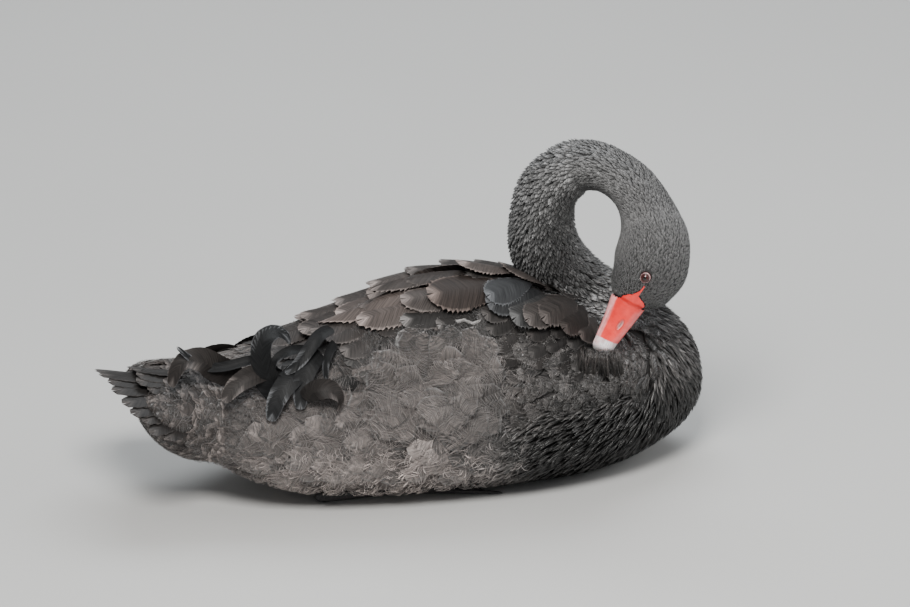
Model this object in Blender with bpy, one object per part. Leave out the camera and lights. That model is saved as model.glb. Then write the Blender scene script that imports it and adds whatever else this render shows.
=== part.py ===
"""A black swan resting on its belly, neck looped round to preen the right shoulder.

+X points to the breast, +Y to the bird's left, +Z up. The origin lies on the floor,
at the middle of the flat under the belly. Lengths are in metres, angles in degrees.
"""

from math import cos, pi, radians, sin

import bmesh
import bpy
import numpy as np
from mathutils import Matrix, Vector

GAP = 0.0003  # between nodes that touch
BODY_CUTS_WIDER = 1.4 * GAP  # the body, grown by this, cuts what lies on it
NECK_CUTS_WIDER = 3 * GAP

# Body: one loft from the vent (share 0) to the breast (share 1), rounded at both ends.
BODY_LENGTH = 0.575
BODY_MIDDLE_X = 0.0175
BODY_SHARES = np.linspace(0.0, 1.0, 11)
HALF_WIDTHS = (0, 0.050, 0.082, 0.103, 0.117, 0.1255, 0.1245, 0.106, 0.075, 0.040, 0)
BACK_RISES = (0, 0.025, 0.041, 0.060, 0.087, 0.115, 0.114, 0.097, 0.082, 0.050, 0)
BELLY_DROPS = (0, 0.032, 0.062, 0.0835, 0.0915, 0.0915, 0.0905, 0.0865, 0.068, 0.037, 0)
WIDEST_HEIGHTS = (
    0.108, 0.104, 0.099, 0.093, 0.089, 0.088, 0.087, 0.086, 0.085, 0.080, 0.076,
)
BACK_FULLNESS = 2.2  # exponent of the section's upper half, 2 being an ellipse
BELLY_FULLNESS = 2.4
BODY_RINGS = 24
BODY_SIDES = 28

# Head and neck: one bent tube, from the bill's root over the loop and down to the breast.
BILL_ROOT = np.array((0.1993, -0.093, 0.2086))
BILL_POINTS_TO = np.array((-0.459, -0.104, -0.881))
CROWN_FACES = np.array((0.656, -0.709, -0.258))
HEAD_AXIS = (  # distance behind the bill's root, rise towards the crown
    (0.000, 0.001), (0.015, 0.0022), (0.031, 0.0050), (0.046, 0.0055), (0.061, 0.0024),
    (0.076, -0.0052),
)
NECK_AXIS = (
    (0.2296, -0.0726, 0.2925), (0.2121, -0.0536, 0.3281), (0.1722, -0.0243, 0.3415),
    (0.1383, -0.0016, 0.3073), (0.1342, 0.0077, 0.2668), (0.1404, 0.0164, 0.2311),
    (0.1703, 0.0159, 0.1862), (0.2070, 0.0030, 0.1450), (0.2370, 0.0000, 0.0960),
)
TUBE_HALF_DEPTHS = (
    0.0195, 0.0327, 0.0389, 0.0437, 0.0419, 0.0398,
    0.0333, 0.0266, 0.0282, 0.0326, 0.0357, 0.0395, 0.0370, 0.0500, 0.0560,
)
TUBE_HALF_WIDTHS = (
    0.0165, 0.0235, 0.0285, 0.0310, 0.0320, 0.0325,
    0.0320, 0.0290, 0.0270, 0.0310, 0.0350, 0.0380, 0.0420, 0.0510, 0.0560,
)
TUBE_SIDES = 20
RING_PITCH = 0.011
HEAD_ENDS_AT = 5.4  # stations of the tube where one node ends and the next begins
NECK_PARTS_END_AT = (7.5, 9.4, 11.2, 14.0)

EYE_RADIUS = 0.0062
EYE_BEHIND_BILL = 0.0385
EYE_RISE = 0.0168
EYE_OUT = 0.0262
EYE_LOOKS = (0.95, 0.26, -0.17)  # outwards, towards the crown and backwards
LID_RADIUS = 0.0056
LID_THICKNESS = 0.0013
LID_OUT = 0.0040  # from the eye's middle

BILL_LENGTH = 0.058
BILL_SHARES = (0.0, 0.25, 0.5, 0.75, 0.92, 1.0)
CULMEN_RISES = (0.0190, 0.0157, 0.0122, 0.0082, 0.0045, -0.0020)
MOUTH_RISES = (-0.0085, -0.0088, -0.0090, -0.0092, -0.0096, -0.0104)
CHIN_RISES = (-0.0172, -0.0160, -0.0150, -0.0141, -0.0132, -0.0120)
BILL_HALF_WIDTHS = (0.0158, 0.0135, 0.0122, 0.0122, 0.0110, 0.0050)
BILL_SIDES = 9
BILL_SQUARENESS = 0.8  # power of the cosine across each half
BILL_ROUNDNESS = 0.85  # power of the sine along its rise
NOSTRIL_AT = 0.36  # share of the bill's length
NOSTRIL_RISE = 0.0062
NOSTRIL_OUT = 0.80  # share of the bill's half width
NOSTRIL_SLANT = 0.35
NOSTRIL_HALF_SIZES = (0.0052, 0.0026, 0.0022)

# Wings: a core that hugs the body, with feathers in tiers growing backwards out of it.
WING_BACK_X = -0.155
WING_FRONT_X = 0.160
WING_TOP_ANGLES = (6, 4, 4, 4, 10, 30)  # from the spine, rear to front
WING_LOW_ANGLES = (48, 54, 56, 56, 58, 58)
WING_THICKNESS = 0.011
WING_EDGE_THICKNESS = 0.0045
WING_CORE_SINKS = 0.004  # its inner face into the body, which cuts it away
LEFT_WING_SHARE = 0.7  # of these thicknesses, since the left wing lies close
LEFT_WING_CURL = 0.12  # of the right wing's curl, since the preened side is the ruffled one
RIGHT_WING_LIFTS = (0.002, 0.014, 0.027, 0.027, 0.018, 0.002)  # its top edge is raised, rear to front
LIFT_FALLS = 1.5  # power of the cosine by which the lift falls off down the wing
SPINE_CLEARANCE = 0.0008  # of each wing from the plane between the wings

VANE_THICKNESS = 0.0010
VANE_ROOT_SINKS = 0.0034
VANE_TIP_STANDS = 0.0046
VANE_TILT = 0.0019  # each long edge above or below the middle, so that neighbours lie clear
VANE_DROOP = 0.012  # of both long edges, to the width
CURL_STARTS_AT = 0.3  # share of a curled feather's length
CURL_GATHERS = 1.3  # power by which its pitch grows from there
VANE_SHARES = np.array((0.0, 0.22, 0.5, 0.8, 1.0))  # of its length, and its width there
VANE_WIDTHS = np.array((0.40, 0.80, 1.00, 0.90, 0.42))
CURLED_SHARES = np.array((0.0, 0.2, 0.4, 0.6, 0.8, 1.0))
TIP_POINT = 0.06  # how far the middle of a tip reaches past its corners, of the length
SKIN_PER_RADIAN = 0.105  # metres of body surface to a radian round it

TAIL_ROOT = np.array((-0.215, 0.0, 0.126))  # where the lines of the tail feathers meet
TAIL_SPREAD = 46  # of the outermost feather from straight back
TAIL_SLOPES = (0.16, 0.36)  # rise of the middle, and how much less of it at the spread
TAIL_OVERLAP_TILT = 0.16
TAIL_MIDDLE_LIFT = 0.0023  # the middle feather lies over both its neighbours
TAIL_FANS = (  # count, spread, start from the meeting place, length, width, height over the fan
    (13, 46, 0.058, 0.075, 0.036, 0.0000),
    (7, 30, 0.046, 0.060, 0.034, 0.0062),
)
RUMP_STATIONS_X = (-0.236, -0.262, -0.284, -0.300, -0.312)
RUMP_HALF_WIDTHS = (0.070, 0.072, 0.070, 0.060, 0.036)
RUMP_RISES = (0.032, 0.030, 0.021, 0.010, 0.003)
RUMP_DROPS = (0.068, 0.062, 0.053, 0.038, 0.014)
RUMP_HEIGHTS = (0.112, 0.115, 0.121, 0.126, 0.130)
RUMP_SIDES = 16

FOOT_OUT = 0.052  # from the plane of symmetry
TOE_ROOT_X = -0.030
HOCK_X = -0.118
TOES = ((-14, 0.084), (1, 0.102), (16, 0.094))  # angle away from straight ahead, length
TOE_RADIUS = 0.0042
TARSUS_RADIUS = 0.0062
HOCK_SWELLS = 1.25
HOCK_HALF_SIZES = (0.0105, 0.0080, 0.0074)
CLAW_LENGTH = 0.012
CLAW_TIP_HEIGHT = 0.0016
WEB_THICKNESS = 0.0022
WEB_HEIGHT = 0.0012
WEB_BAY = 0.12  # how far a web's front edge draws back between two toes
HIND_TOE_STARTS = (-0.014, -0.003, -0.002)  # from the toes' root; the second number is times the side
HIND_TOE_ENDS = (-0.024, -0.020, -0.0040)
HIND_TOE_RADII = (0.0030, 0.0018)


def clear_scene():
    for thing in list(bpy.data.objects):
        bpy.data.objects.remove(thing, do_unlink=True)


def material(name, colour, roughness):
    made = bpy.data.materials.get(name)
    if made is None:
        made = bpy.data.materials.new(name)
        made.use_nodes = True
        shader = made.node_tree.nodes["Principled BSDF"]
        shader.inputs["Base Color"].default_value = (*colour, 1.0)
        shader.inputs["Roughness"].default_value = roughness
        shader.inputs["Metallic"].default_value = 0.0
    return made


def body_feathers():
    return material("body_feathers", (0.035, 0.031, 0.030), 0.8)


def wing_feathers():
    return material("wing_feathers", (0.055, 0.047, 0.043), 0.7)


def bill_skin():
    return material("bill_skin", (0.72, 0.07, 0.04), 0.4)


def eye_gloss():
    return material("eye_gloss", (0.10, 0.01, 0.01), 0.1)


def foot_skin():
    return material("foot_skin", (0.045, 0.042, 0.045), 0.6)


def solid(name, points, faces, skin=None):
    """An object from points and faces, its faces turned outwards."""
    mesh = bpy.data.meshes.new(name)
    mesh.from_pydata([tuple(map(float, p)) for p in points], [], [tuple(map(int, f)) for f in faces])
    shell = bmesh.new()
    shell.from_mesh(mesh)
    bmesh.ops.recalc_face_normals(shell, faces=shell.faces)
    shell.to_mesh(mesh)
    shell.free()
    made = bpy.data.objects.new(name, mesh)
    bpy.context.scene.collection.objects.link(made)
    if skin is not None:
        mesh.materials.append(skin)
    return made


def applied(thing):
    """The object with its modifiers made part of its mesh."""
    bpy.context.view_layer.update()
    graph = bpy.context.evaluated_depsgraph_get()
    mesh = bpy.data.meshes.new_from_object(thing.evaluated_get(graph))
    thing.modifiers.clear()
    thing.data = mesh
    return thing


def join_all(base, others, solver="EXACT"):
    """One Boolean union of the base with a collection of closed shapes, which are then removed."""
    group = bpy.data.collections.new(base.name + "_pieces")
    for other in others:
        group.objects.link(other)
    union = base.modifiers.new("join", "BOOLEAN")
    union.operation = "UNION"
    union.operand_type = "COLLECTION"
    union.collection = group
    union.solver = solver
    applied(base)
    for other in others:
        bpy.data.objects.remove(other, do_unlink=True)
    bpy.data.collections.remove(group)
    return base


def cut_away(base, cutter, keep_cutter=False, solver="EXACT"):
    cut = base.modifiers.new("cut", "BOOLEAN")
    cut.operation = "DIFFERENCE"
    cut.object = cutter
    cut.solver = solver
    applied(base)
    if not keep_cutter:
        bpy.data.objects.remove(cutter, do_unlink=True)
    return base


def keep_largest(thing):
    """Drops every loose scrap and every sealed hollow, leaving one closed surface."""
    shell = bmesh.new()
    shell.from_mesh(thing.data)
    left = set(shell.verts)
    groups = []
    while left:
        group = set()
        edge_of_group = [left.pop()]
        while edge_of_group:
            corner = edge_of_group.pop()
            group.add(corner)
            for edge in corner.link_edges:
                other = edge.other_vert(corner)
                if other in left:
                    left.remove(other)
                    edge_of_group.append(other)
        groups.append(group)
    largest = max(groups, key=len)
    drop = [corner for group in groups if group is not largest for corner in group]
    bmesh.ops.delete(shell, geom=drop, context="VERTS")
    bmesh.ops.triangulate(shell, faces=shell.faces)
    shell.to_mesh(thing.data)
    shell.free()
    return thing


def grown(thing, by):
    """A copy of the object, larger by a distance on every side, to cut its neighbours with."""
    copy = thing.copy()
    copy.data = thing.data.copy()
    bpy.context.scene.collection.objects.link(copy)
    shell = bmesh.new()
    shell.from_mesh(copy.data)
    shell.normal_update()
    moves = [corner.normal * by for corner in shell.verts]
    for corner, move in zip(shell.verts, moves):
        corner.co += move
    shell.to_mesh(copy.data)
    shell.free()
    return copy


def through(stations, values, at):
    """A smooth curve through the values at the stations, as cubic pieces with the mean slope at each."""
    stations = np.asarray(stations, float)
    values = np.asarray(values, float)
    at = np.clip(np.asarray(at, float), stations[0], stations[-1])
    slopes = np.gradient(values, stations, axis=0)
    i = np.clip(np.searchsorted(stations, at, side="right") - 1, 0, len(stations) - 2)
    step = stations[i + 1] - stations[i]
    t = (at - stations[i]) / step
    if values.ndim > 1:
        t, step = t[..., None], step[..., None]
    return (
        (2 * t**3 - 3 * t**2 + 1) * values[i]
        + (t**3 - 2 * t**2 + t) * step * slopes[i]
        + (3 * t**2 - 2 * t**3) * values[i + 1]
        + (t**3 - t**2) * step * slopes[i + 1]
    )


def unit(vector):
    vector = np.asarray(vector, float)
    return vector / np.linalg.norm(vector, axis=-1, keepdims=True)


def body_surface(x, angle):
    """The body's surface at x, at an angle in radians from the spine, positive on the bird's left.

    Each section is a superellipse, its half width, rise and drop following the named stations.
    """
    x = np.asarray(x, float)
    angle = np.asarray(angle, float)
    along = np.clip((BODY_MIDDLE_X - x) / (BODY_LENGTH / 2), -1, 1)
    share = np.arccos(along) / pi
    width = through(BODY_SHARES, HALF_WIDTHS, share)
    rise = through(BODY_SHARES, BACK_RISES, share)
    drop = through(BODY_SHARES, BELLY_DROPS, share)
    middle = through(BODY_SHARES, WIDEST_HEIGHTS, share)
    upper = np.cos(angle) >= 0
    power = 2 / np.where(upper, BACK_FULLNESS, BELLY_FULLNESS)
    across = np.sign(np.sin(angle)) * np.abs(np.sin(angle)) ** power
    height = np.abs(np.cos(angle)) ** power
    y = width * across
    z = middle + np.where(upper, rise, -drop) * height
    return np.stack(np.broadcast_arrays(x, y, z), axis=-1)


def over_body(x, angle, height):
    """A point at a height over the body's surface, along the surface's own normal."""
    small = 1e-3
    here = body_surface(x, angle)
    forward = body_surface(x + small, angle) - body_surface(x - small, angle)
    around = body_surface(x, angle + small) - body_surface(x, angle - small)
    normal = unit(np.cross(around, forward))
    outward = np.sign(np.sum(normal * (here - np.array((0.0, 0.0, 0.09))), axis=-1, keepdims=True))
    return here + normal * outward * np.asarray(height, float)[..., None]


def make_body():
    shares = np.linspace(0.0, 1.0, BODY_RINGS + 1)[1:-1]
    turns = (np.arange(BODY_SIDES) + 0.5) * 2 * pi / BODY_SIDES
    xs = BODY_MIDDLE_X - BODY_LENGTH / 2 * np.cos(pi * shares)
    rings = body_surface(xs[:, None], turns[None, :])
    ends = body_surface(np.array((BODY_MIDDLE_X - BODY_LENGTH / 2, BODY_MIDDLE_X + BODY_LENGTH / 2)), np.zeros(2))
    rings[..., 2] = np.maximum(rings[..., 2], 0.0)
    return lofted("torso", rings, body_feathers(), ends)


def lofted(name, rings, skin, ends=None):
    """A closed tube through rings of points, capped by a fan to a given end point or to the ring's middle."""
    count, sides = rings.shape[:2]
    if ends is None:
        ends = np.array((rings[0].mean(axis=0), rings[-1].mean(axis=0)))
    points = np.concatenate((rings.reshape(-1, 3), ends))
    first, last = count * sides, count * sides + 1
    faces = []
    for ring in range(count - 1):
        for side in range(sides):
            a = ring * sides + side
            b = ring * sides + (side + 1) % sides
            faces.append((a, b, b + sides))
            faces.append((a, b + sides, a + sides))
    for side in range(sides):
        beside = (side + 1) % sides
        faces.append((first, beside, side))
        faces.append((last, (count - 1) * sides + side, (count - 1) * sides + beside))
    return solid(name, points, faces, skin)


def head_frame():
    """Unit vectors of the head: backwards from the bill, up through the crown, and to the head's right."""
    forward = unit(BILL_POINTS_TO)
    crown = unit(CROWN_FACES - forward * np.dot(CROWN_FACES, forward))
    return -forward, crown, np.cross(forward, crown)


def tube_axis():
    """Points of the tube's axis, from the bill's root to the breast."""
    back, crown, _ = head_frame()
    head = [BILL_ROOT + back * behind + crown * rise for behind, rise in HEAD_AXIS]
    return np.array([*head, *NECK_AXIS])


def tube_rings(start, end, sides=TUBE_SIDES):
    """Rings of points round the tube between two stations.

    Each ring is an ellipse square to the axis. Its crown direction is carried along the axis
    from the head with no twist of its own.
    """
    axis = tube_axis()
    chords = np.concatenate(((0,), np.cumsum(np.linalg.norm(np.diff(axis, axis=0), axis=1))))
    fine = np.linspace(0, chords[-1], 600)
    heading = unit(np.gradient(through(chords, axis, fine), axis=0))
    crowns = [head_frame()[1]]
    for direction in heading[1:]:
        crowns.append(unit(crowns[-1] - direction * np.dot(crowns[-1], direction)))
    crowns = np.array(crowns)
    first, last = np.interp((start, end), np.arange(len(axis)), chords)
    at = np.linspace(first, last, max(3, round((last - first) / RING_PITCH) + 1))
    centre = through(chords, axis, at)
    direction = unit(np.stack([np.interp(at, fine, heading[:, k]) for k in range(3)], axis=-1))
    up = np.stack([np.interp(at, fine, crowns[:, k]) for k in range(3)], axis=-1)
    up = unit(up - direction * np.sum(up * direction, axis=-1, keepdims=True))
    side = np.cross(direction, up)
    depth = through(chords, TUBE_HALF_DEPTHS, at)
    width = through(chords, TUBE_HALF_WIDTHS, at)
    turns = np.arange(sides) * 2 * pi / sides
    return (
        centre[:, None]
        + up[:, None] * (depth[:, None] * np.cos(turns))[..., None]
        + side[:, None] * (width[:, None] * np.sin(turns))[..., None]
    )


def shortened(rings, by):
    """The rings with the last one drawn back by a distance, to leave a gap before the next node."""
    step = rings[-1].mean(axis=0) - rings[-2].mean(axis=0)
    rings = rings.copy()
    rings[-1] -= unit(step) * by
    return rings


def ball(name, centre, sizes, axes, sides=14, rings=8):
    """A closed ellipsoid with half sizes along three given axes."""
    tilts = np.linspace(0, pi, rings + 1)[1:-1]
    turns = np.arange(sides) * 2 * pi / sides
    local = np.stack(
        np.broadcast_arrays(
            np.cos(tilts)[:, None],
            np.sin(tilts)[:, None] * np.cos(turns),
            np.sin(tilts)[:, None] * np.sin(turns),
        ),
        axis=-1,
    )
    frame = np.asarray(axes, float) * np.asarray(sizes, float)[:, None]
    poles = np.array((centre + frame[0], centre - frame[0]))
    return lofted(name, centre + local @ frame, None, poles)


def eye_place(side):
    """The eye's middle and the direction it looks, side 1 being the head's right."""
    back, crown, right = head_frame()
    middle = BILL_ROOT + back * EYE_BEHIND_BILL + crown * EYE_RISE + right * side * EYE_OUT
    looks = unit(right * side * EYE_LOOKS[0] + crown * EYE_LOOKS[1] + back * EYE_LOOKS[2])
    return middle, looks


def ring_of(name, middle, axis, radius, thickness, sides=16, around=6):
    """A closed torus about an axis, for a lid."""
    helper = np.array((0.0, 0.0, 1.0))
    first = unit(np.cross(axis, helper))
    second = np.cross(axis, first)
    points = []
    for turn in np.arange(sides) * 2 * pi / sides:
        outward = first * cos(turn) + second * sin(turn)
        for roll in np.arange(around) * 2 * pi / around:
            points.append(middle + outward * (radius + thickness * cos(roll)) + axis * thickness * sin(roll))
    faces = []
    for i in range(sides):
        for j in range(around):
            a = i * around + j
            b = i * around + (j + 1) % around
            c = (i + 1) % sides * around + (j + 1) % around
            d = (i + 1) % sides * around + j
            faces.append((a, b, c, d))
    return solid(name, points, faces)


def make_head():
    back = head_frame()[0]
    rings = shortened(tube_rings(0, HEAD_ENDS_AT, 24), GAP)
    rings[0] -= (rings[0] - BILL_ROOT) @ back[:, None] * back
    head = lofted("head", rings, body_feathers())
    sockets = []
    lids = []
    for side, name in ((1, "eye_right"), (-1, "eye_left")):
        middle, looks = eye_place(side)
        axes = (looks, *side_axes(looks))
        eye = ball(name, middle, (EYE_RADIUS,) * 3, axes)
        eye.data.materials.append(eye_gloss())
        sockets.append(ball("socket", middle, (EYE_RADIUS + GAP,) * 3, axes))
        lids.append(ring_of("lid", middle + looks * LID_OUT, looks, LID_RADIUS, LID_THICKNESS))
    join_all(head, lids)
    for socket in sockets:
        cut_away(head, socket)
    return keep_largest(head)


def side_axes(axis):
    first = unit(np.cross(axis, (0.0, 0.0, 1.0)))
    return first, np.cross(axis, first)


def make_neck():
    names = ("neck_upper", "neck_middle", "neck_lower", "neck_base")
    start = HEAD_ENDS_AT
    made = []
    for name, end in zip(names, NECK_PARTS_END_AT):
        made.append(lofted(name, shortened(tube_rings(start, end), GAP), body_feathers()))
        start = end
    return made


def bill_half(name, low_rises, high_rises, flat_above):
    """One mandible: D-shaped sections along the bill, flat along the mouth and round on the other side."""
    back, crown, right = head_frame()
    shares = np.linspace(0, 1, 9) ** 0.85
    low = through(BILL_SHARES, low_rises, shares)
    high = through(BILL_SHARES, high_rises, shares)
    width = through(BILL_SHARES, BILL_HALF_WIDTHS, shares)
    turns = np.linspace(0, pi, BILL_SIDES)
    rings = []
    for share, bottom, top, half in zip(shares, low, high, width):
        flat, bulge = (top, bottom - top) if flat_above else (bottom, top - bottom)
        across = half * np.sign(np.cos(turns)) * np.abs(np.cos(turns)) ** BILL_SQUARENESS
        rise = flat + bulge * np.sin(turns) ** BILL_ROUNDNESS
        ring = (
            BILL_ROOT
            - back * (GAP + share * (BILL_LENGTH - GAP))
            + crown * rise[:, None]
            + right * across[:, None]
        )
        rings.append(ring)
    return lofted(name, np.array(rings), bill_skin())


def make_bill():
    back, crown, right = head_frame()
    mouth = np.array(MOUTH_RISES)
    upper = bill_half("bill_upper", mouth + GAP / 2, CULMEN_RISES, False)
    bill_half("bill_lower", CHIN_RISES, mouth - GAP / 2, True)
    for side in (1, -1):
        half = through(BILL_SHARES, BILL_HALF_WIDTHS, np.array(NOSTRIL_AT))
        middle = BILL_ROOT - back * NOSTRIL_AT * BILL_LENGTH + crown * NOSTRIL_RISE
        middle = middle + right * side * half * NOSTRIL_OUT
        axes = (unit(back + crown * NOSTRIL_SLANT), crown, right)
        cut_away(upper, ball("nostril", middle, NOSTRIL_HALF_SIZES, axes))
    keep_largest(upper)


def wing_limits(x):
    stations = np.linspace(WING_BACK_X, WING_FRONT_X, len(WING_TOP_ANGLES))
    return through(stations, WING_TOP_ANGLES, x), through(stations, WING_LOW_ANGLES, x)


def core_height(side, x, angle):
    """The wing core's thickness over the body, in metres, full in the middle and thin at the edges.

    The right wing is loosened for preening: its top edge is lifted, and its lower edge isn't.
    """
    top, low = wing_limits(np.clip(x, WING_BACK_X, WING_FRONT_X))
    across = np.clip((angle - top) / (low - top), 0, 1)
    along = np.clip((x - WING_BACK_X) / (WING_FRONT_X - WING_BACK_X), 0, 1)
    full = np.sqrt(np.clip(np.sin(pi * across), 0, 1) * np.clip(np.sin(pi * along), 0, 1))
    thickness = WING_EDGE_THICKNESS + (WING_THICKNESS - WING_EDGE_THICKNESS) * full
    if side > 0:
        return thickness * LEFT_WING_SHARE
    lift = np.interp(along, np.linspace(0, 1, len(RIGHT_WING_LIFTS)), RIGHT_WING_LIFTS)
    return thickness + lift * np.cos(pi / 2 * across) ** LIFT_FALLS


def wing_core(name, side):
    """A curved slab over the body's side. Its inner face lies just inside the body, to be cut away."""
    xs = np.linspace(WING_BACK_X, WING_FRONT_X, 13)
    top, low = wing_limits(xs)
    shares = np.linspace(0, 1, 7)
    angles = top[:, None] + (low - top)[:, None] * shares
    x = np.broadcast_to(xs[:, None], angles.shape)
    outer = over_body(x, side * np.radians(angles), core_height(side, x, angles))
    inner = over_body(x, side * np.radians(angles), np.full(angles.shape, -WING_CORE_SINKS))
    return plate(name, outer, inner)


def plate(name, outer, inner, skin=None):
    """A closed sheet between two like grids of points, its two faces split into triangles alike."""
    rows, columns = outer.shape[:2]
    points = np.concatenate((outer.reshape(-1, 3), inner.reshape(-1, 3)))
    below = rows * columns
    faces = []
    for i in range(rows - 1):
        for j in range(columns - 1):
            a = i * columns + j
            b, c, d = a + 1, a + columns + 1, a + columns
            faces += [(a, b, c), (a, c, d)]
            faces += [(below + a, below + c, below + b), (below + a, below + d, below + c)]
    rim = [j for j in range(columns)]
    rim += [i * columns + columns - 1 for i in range(1, rows)]
    rim += [(rows - 1) * columns + j for j in range(columns - 2, -1, -1)]
    rim += [i * columns for i in range(rows - 2, 0, -1)]
    for a, b in zip(rim, rim[1:] + rim[:1]):
        faces += [(a, below + a, below + b), (a, below + b, b)]
    return solid(name, points, faces, skin)


def body_vane(side, root, length, width, aim, lift=0.0, bend=0.0):
    """A feather that lies along the body, from its root backwards.

    root is the place of its root, x and the angle from the spine. aim is how far it turns down
    from straight back. It starts sunk in the core and ends standing over it, its lower edge
    a little higher than its upper edge, so that feathers beside it lie clear of it.
    bend is the angle that its outer two thirds curl up through.
    """
    x_root, angle_root = root
    shares = CURLED_SHARES if bend else VANE_SHARES
    widths = np.interp(shares, VANE_SHARES, VANE_WIDTHS) * width / 2
    fine = np.linspace(0, 1, 201)
    curling = np.clip((fine - CURL_STARTS_AT) / (1 - CURL_STARTS_AT), 0, 1)
    pitches = radians(bend) * curling**CURL_GATHERS
    pitch = np.interp(shares, fine, pitches)
    travels = np.interp(shares, fine, np.cumsum(np.cos(pitches)) * length / len(fine))
    raised = np.interp(shares, fine, np.cumsum(np.sin(pitches)) * length / len(fine))
    stand = -VANE_ROOT_SINKS + (VANE_ROOT_SINKS + VANE_TIP_STANDS) * shares
    turn = radians(aim)
    grid = []
    for across in (-1.0, 0.0, 1.0):
        past = TIP_POINT * length * (shares == 1.0) * (across == 0.0)
        off = across * VANE_TILT - VANE_DROOP * width * across**2
        forward = travels + past * np.cos(pitch) - off * np.sin(pitch)
        up = raised + past * np.sin(pitch) + off * np.cos(pitch)
        aside = across * widths
        x = x_root - forward * cos(turn) + aside * sin(turn)
        angle = angle_root + np.degrees((forward * sin(turn) + aside * cos(turn)) / SKIN_PER_RADIAN)
        rise = core_height(side, x, angle) + stand + lift + up
        grid.append(over_body(x, side * np.radians(angle), rise))
    outer = np.stack(grid, axis=1)
    normal = unit(np.cross(np.gradient(outer, axis=0), np.gradient(outer, axis=1)))
    away = outer[1, 1] - np.array((outer[1, 1, 0], 0.0, 0.09))
    normal = normal * np.sign(np.dot(normal[1, 1], away))
    thickness = VANE_THICKNESS * (1.15 - 0.5 * shares)[:, None, None]
    return plate("vane", outer, outer - normal * thickness)


def wing_tiers(side):
    """Every feather of one wing: root, length, width, aim, lift and bend.

    In a tier the feather nearest the spine lies over the next, so it curls the most.
    """
    chance = np.random.default_rng(11 if side < 0 else 23)
    feathers = []

    def tier(count, xs, angles, lengths, width, aims, lift=0.0, bends=(0.0, 0.0)):
        for share in np.linspace(0, 1, count):
            x, angle, length, aim, bend = (
                low + (high - low) * share for low, high in (xs, angles, lengths, aims, bends)
            )
            feathers.append((
                (x + chance.uniform(-0.002, 0.002), angle),
                length * chance.uniform(0.94, 1.06),
                width * chance.uniform(0.96, 1.04),
                aim + chance.uniform(-2, 2),
                lift,
                bend,
            ))

    curl = 1.0 if side < 0 else LEFT_WING_CURL
    tier(4, (-0.058, -0.050), (28, 46), (0.186, 0.156), 0.028, (-6, -4), lift=-0.0045,
         bends=(44 * curl, 8 * curl))  # flight feathers
    tier(4, (-0.104, -0.098), (12, 43), (0.094, 0.124), 0.036, (4, 12),
         bends=(118 * curl, 38 * curl))  # tertials
    tier(5, (-0.072, -0.058), (10, 47), (0.078, 0.090), 0.035, (2, 10),
         bends=(55 * curl, 16 * curl))
    tier(5, (-0.030, -0.014), (9, 52), (0.084, 0.080), 0.037, (0, 8), lift=0.0005)  # greater coverts
    tier(5, (0.018, 0.032), (8, 52), (0.070, 0.066), 0.036, (1, 9))
    tier(5, (0.062, 0.074), (8, 53), (0.060, 0.056), 0.033, (3, 12))
    tier(5, (0.101, 0.111), (14, 54), (0.052, 0.048), 0.027, (8, 16))
    tier(4, (0.135, 0.143), (28, 54), (0.042, 0.038), 0.022, (14, 20))  # lesser coverts
    return feathers


def make_wing(name, side, cutters):
    core = wing_core(name, side)
    core.data.materials.append(wing_feathers())
    vanes = []
    for feather in wing_tiers(side):
        vanes.append(body_vane(side, *feather))
    join_all(core, vanes)
    for cutter in cutters:
        cut_away(core, cutter, keep_cutter=True)
    return keep_largest(core)


def box(name, low, high):
    corners = [(x, y, z) for x in (low[0], high[0]) for y in (low[1], high[1]) for z in (low[2], high[2])]
    faces = [(0, 1, 3, 2), (4, 6, 7, 5), (0, 4, 5, 1), (2, 3, 7, 6), (0, 2, 6, 4), (1, 5, 7, 3)]
    return solid(name, corners, faces)


def tail_vane(turn, start, length, width, layer, tilt):
    """A tail feather in the fan, which slopes up in the middle and droops at its sides.

    turn is its angle from straight back; each lies over the next one outwards.
    """
    length = length * (1 - 0.14 * (turn / TAIL_SPREAD) ** 2)
    heading = np.array((-cos(radians(turn)), sin(radians(turn))))
    aside = np.array((sin(radians(turn)), cos(radians(turn))))
    grid = []
    for across in (-1.0, 0.0, 1.0):
        forward = start + length * (VANE_SHARES + TIP_POINT * (VANE_SHARES == 1.0) * (across == 0.0))
        beside = across * width / 2 * VANE_WIDTHS
        flat = heading * forward[:, None] + aside * beside[:, None]
        share = np.degrees(np.abs(np.arctan2(flat[:, 1], -flat[:, 0]))) / TAIL_SPREAD
        slope = TAIL_SLOPES[0] - TAIL_SLOPES[1] * np.minimum(share, 1.2) ** 1.5
        rise = slope * np.hypot(flat[:, 0], flat[:, 1]) + layer + tilt * beside * np.sign(turn)
        grid.append(TAIL_ROOT + np.column_stack((flat, rise)))
    outer = np.stack(grid, axis=1)
    inner = outer.copy()
    inner[..., 2] -= VANE_THICKNESS * (1.2 - 0.5 * VANE_SHARES)[:, None]
    return plate("vane", outer, inner)


def rump():
    """The feathered root of the tail, which tapers from the body's width to the fan."""
    turns = (np.arange(RUMP_SIDES) + 0.5) * 2 * pi / RUMP_SIDES
    rings = []
    for x, half, rise, drop, height in zip(
        RUMP_STATIONS_X, RUMP_HALF_WIDTHS, RUMP_RISES, RUMP_DROPS, RUMP_HEIGHTS
    ):
        tall = np.where(np.cos(turns) > 0, rise, drop)
        z = height + tall * np.cos(turns)
        rings.append(np.stack((np.full(RUMP_SIDES, x), half * np.sin(turns), z), axis=-1))
    return lofted("tail", np.array(rings), wing_feathers())


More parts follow.
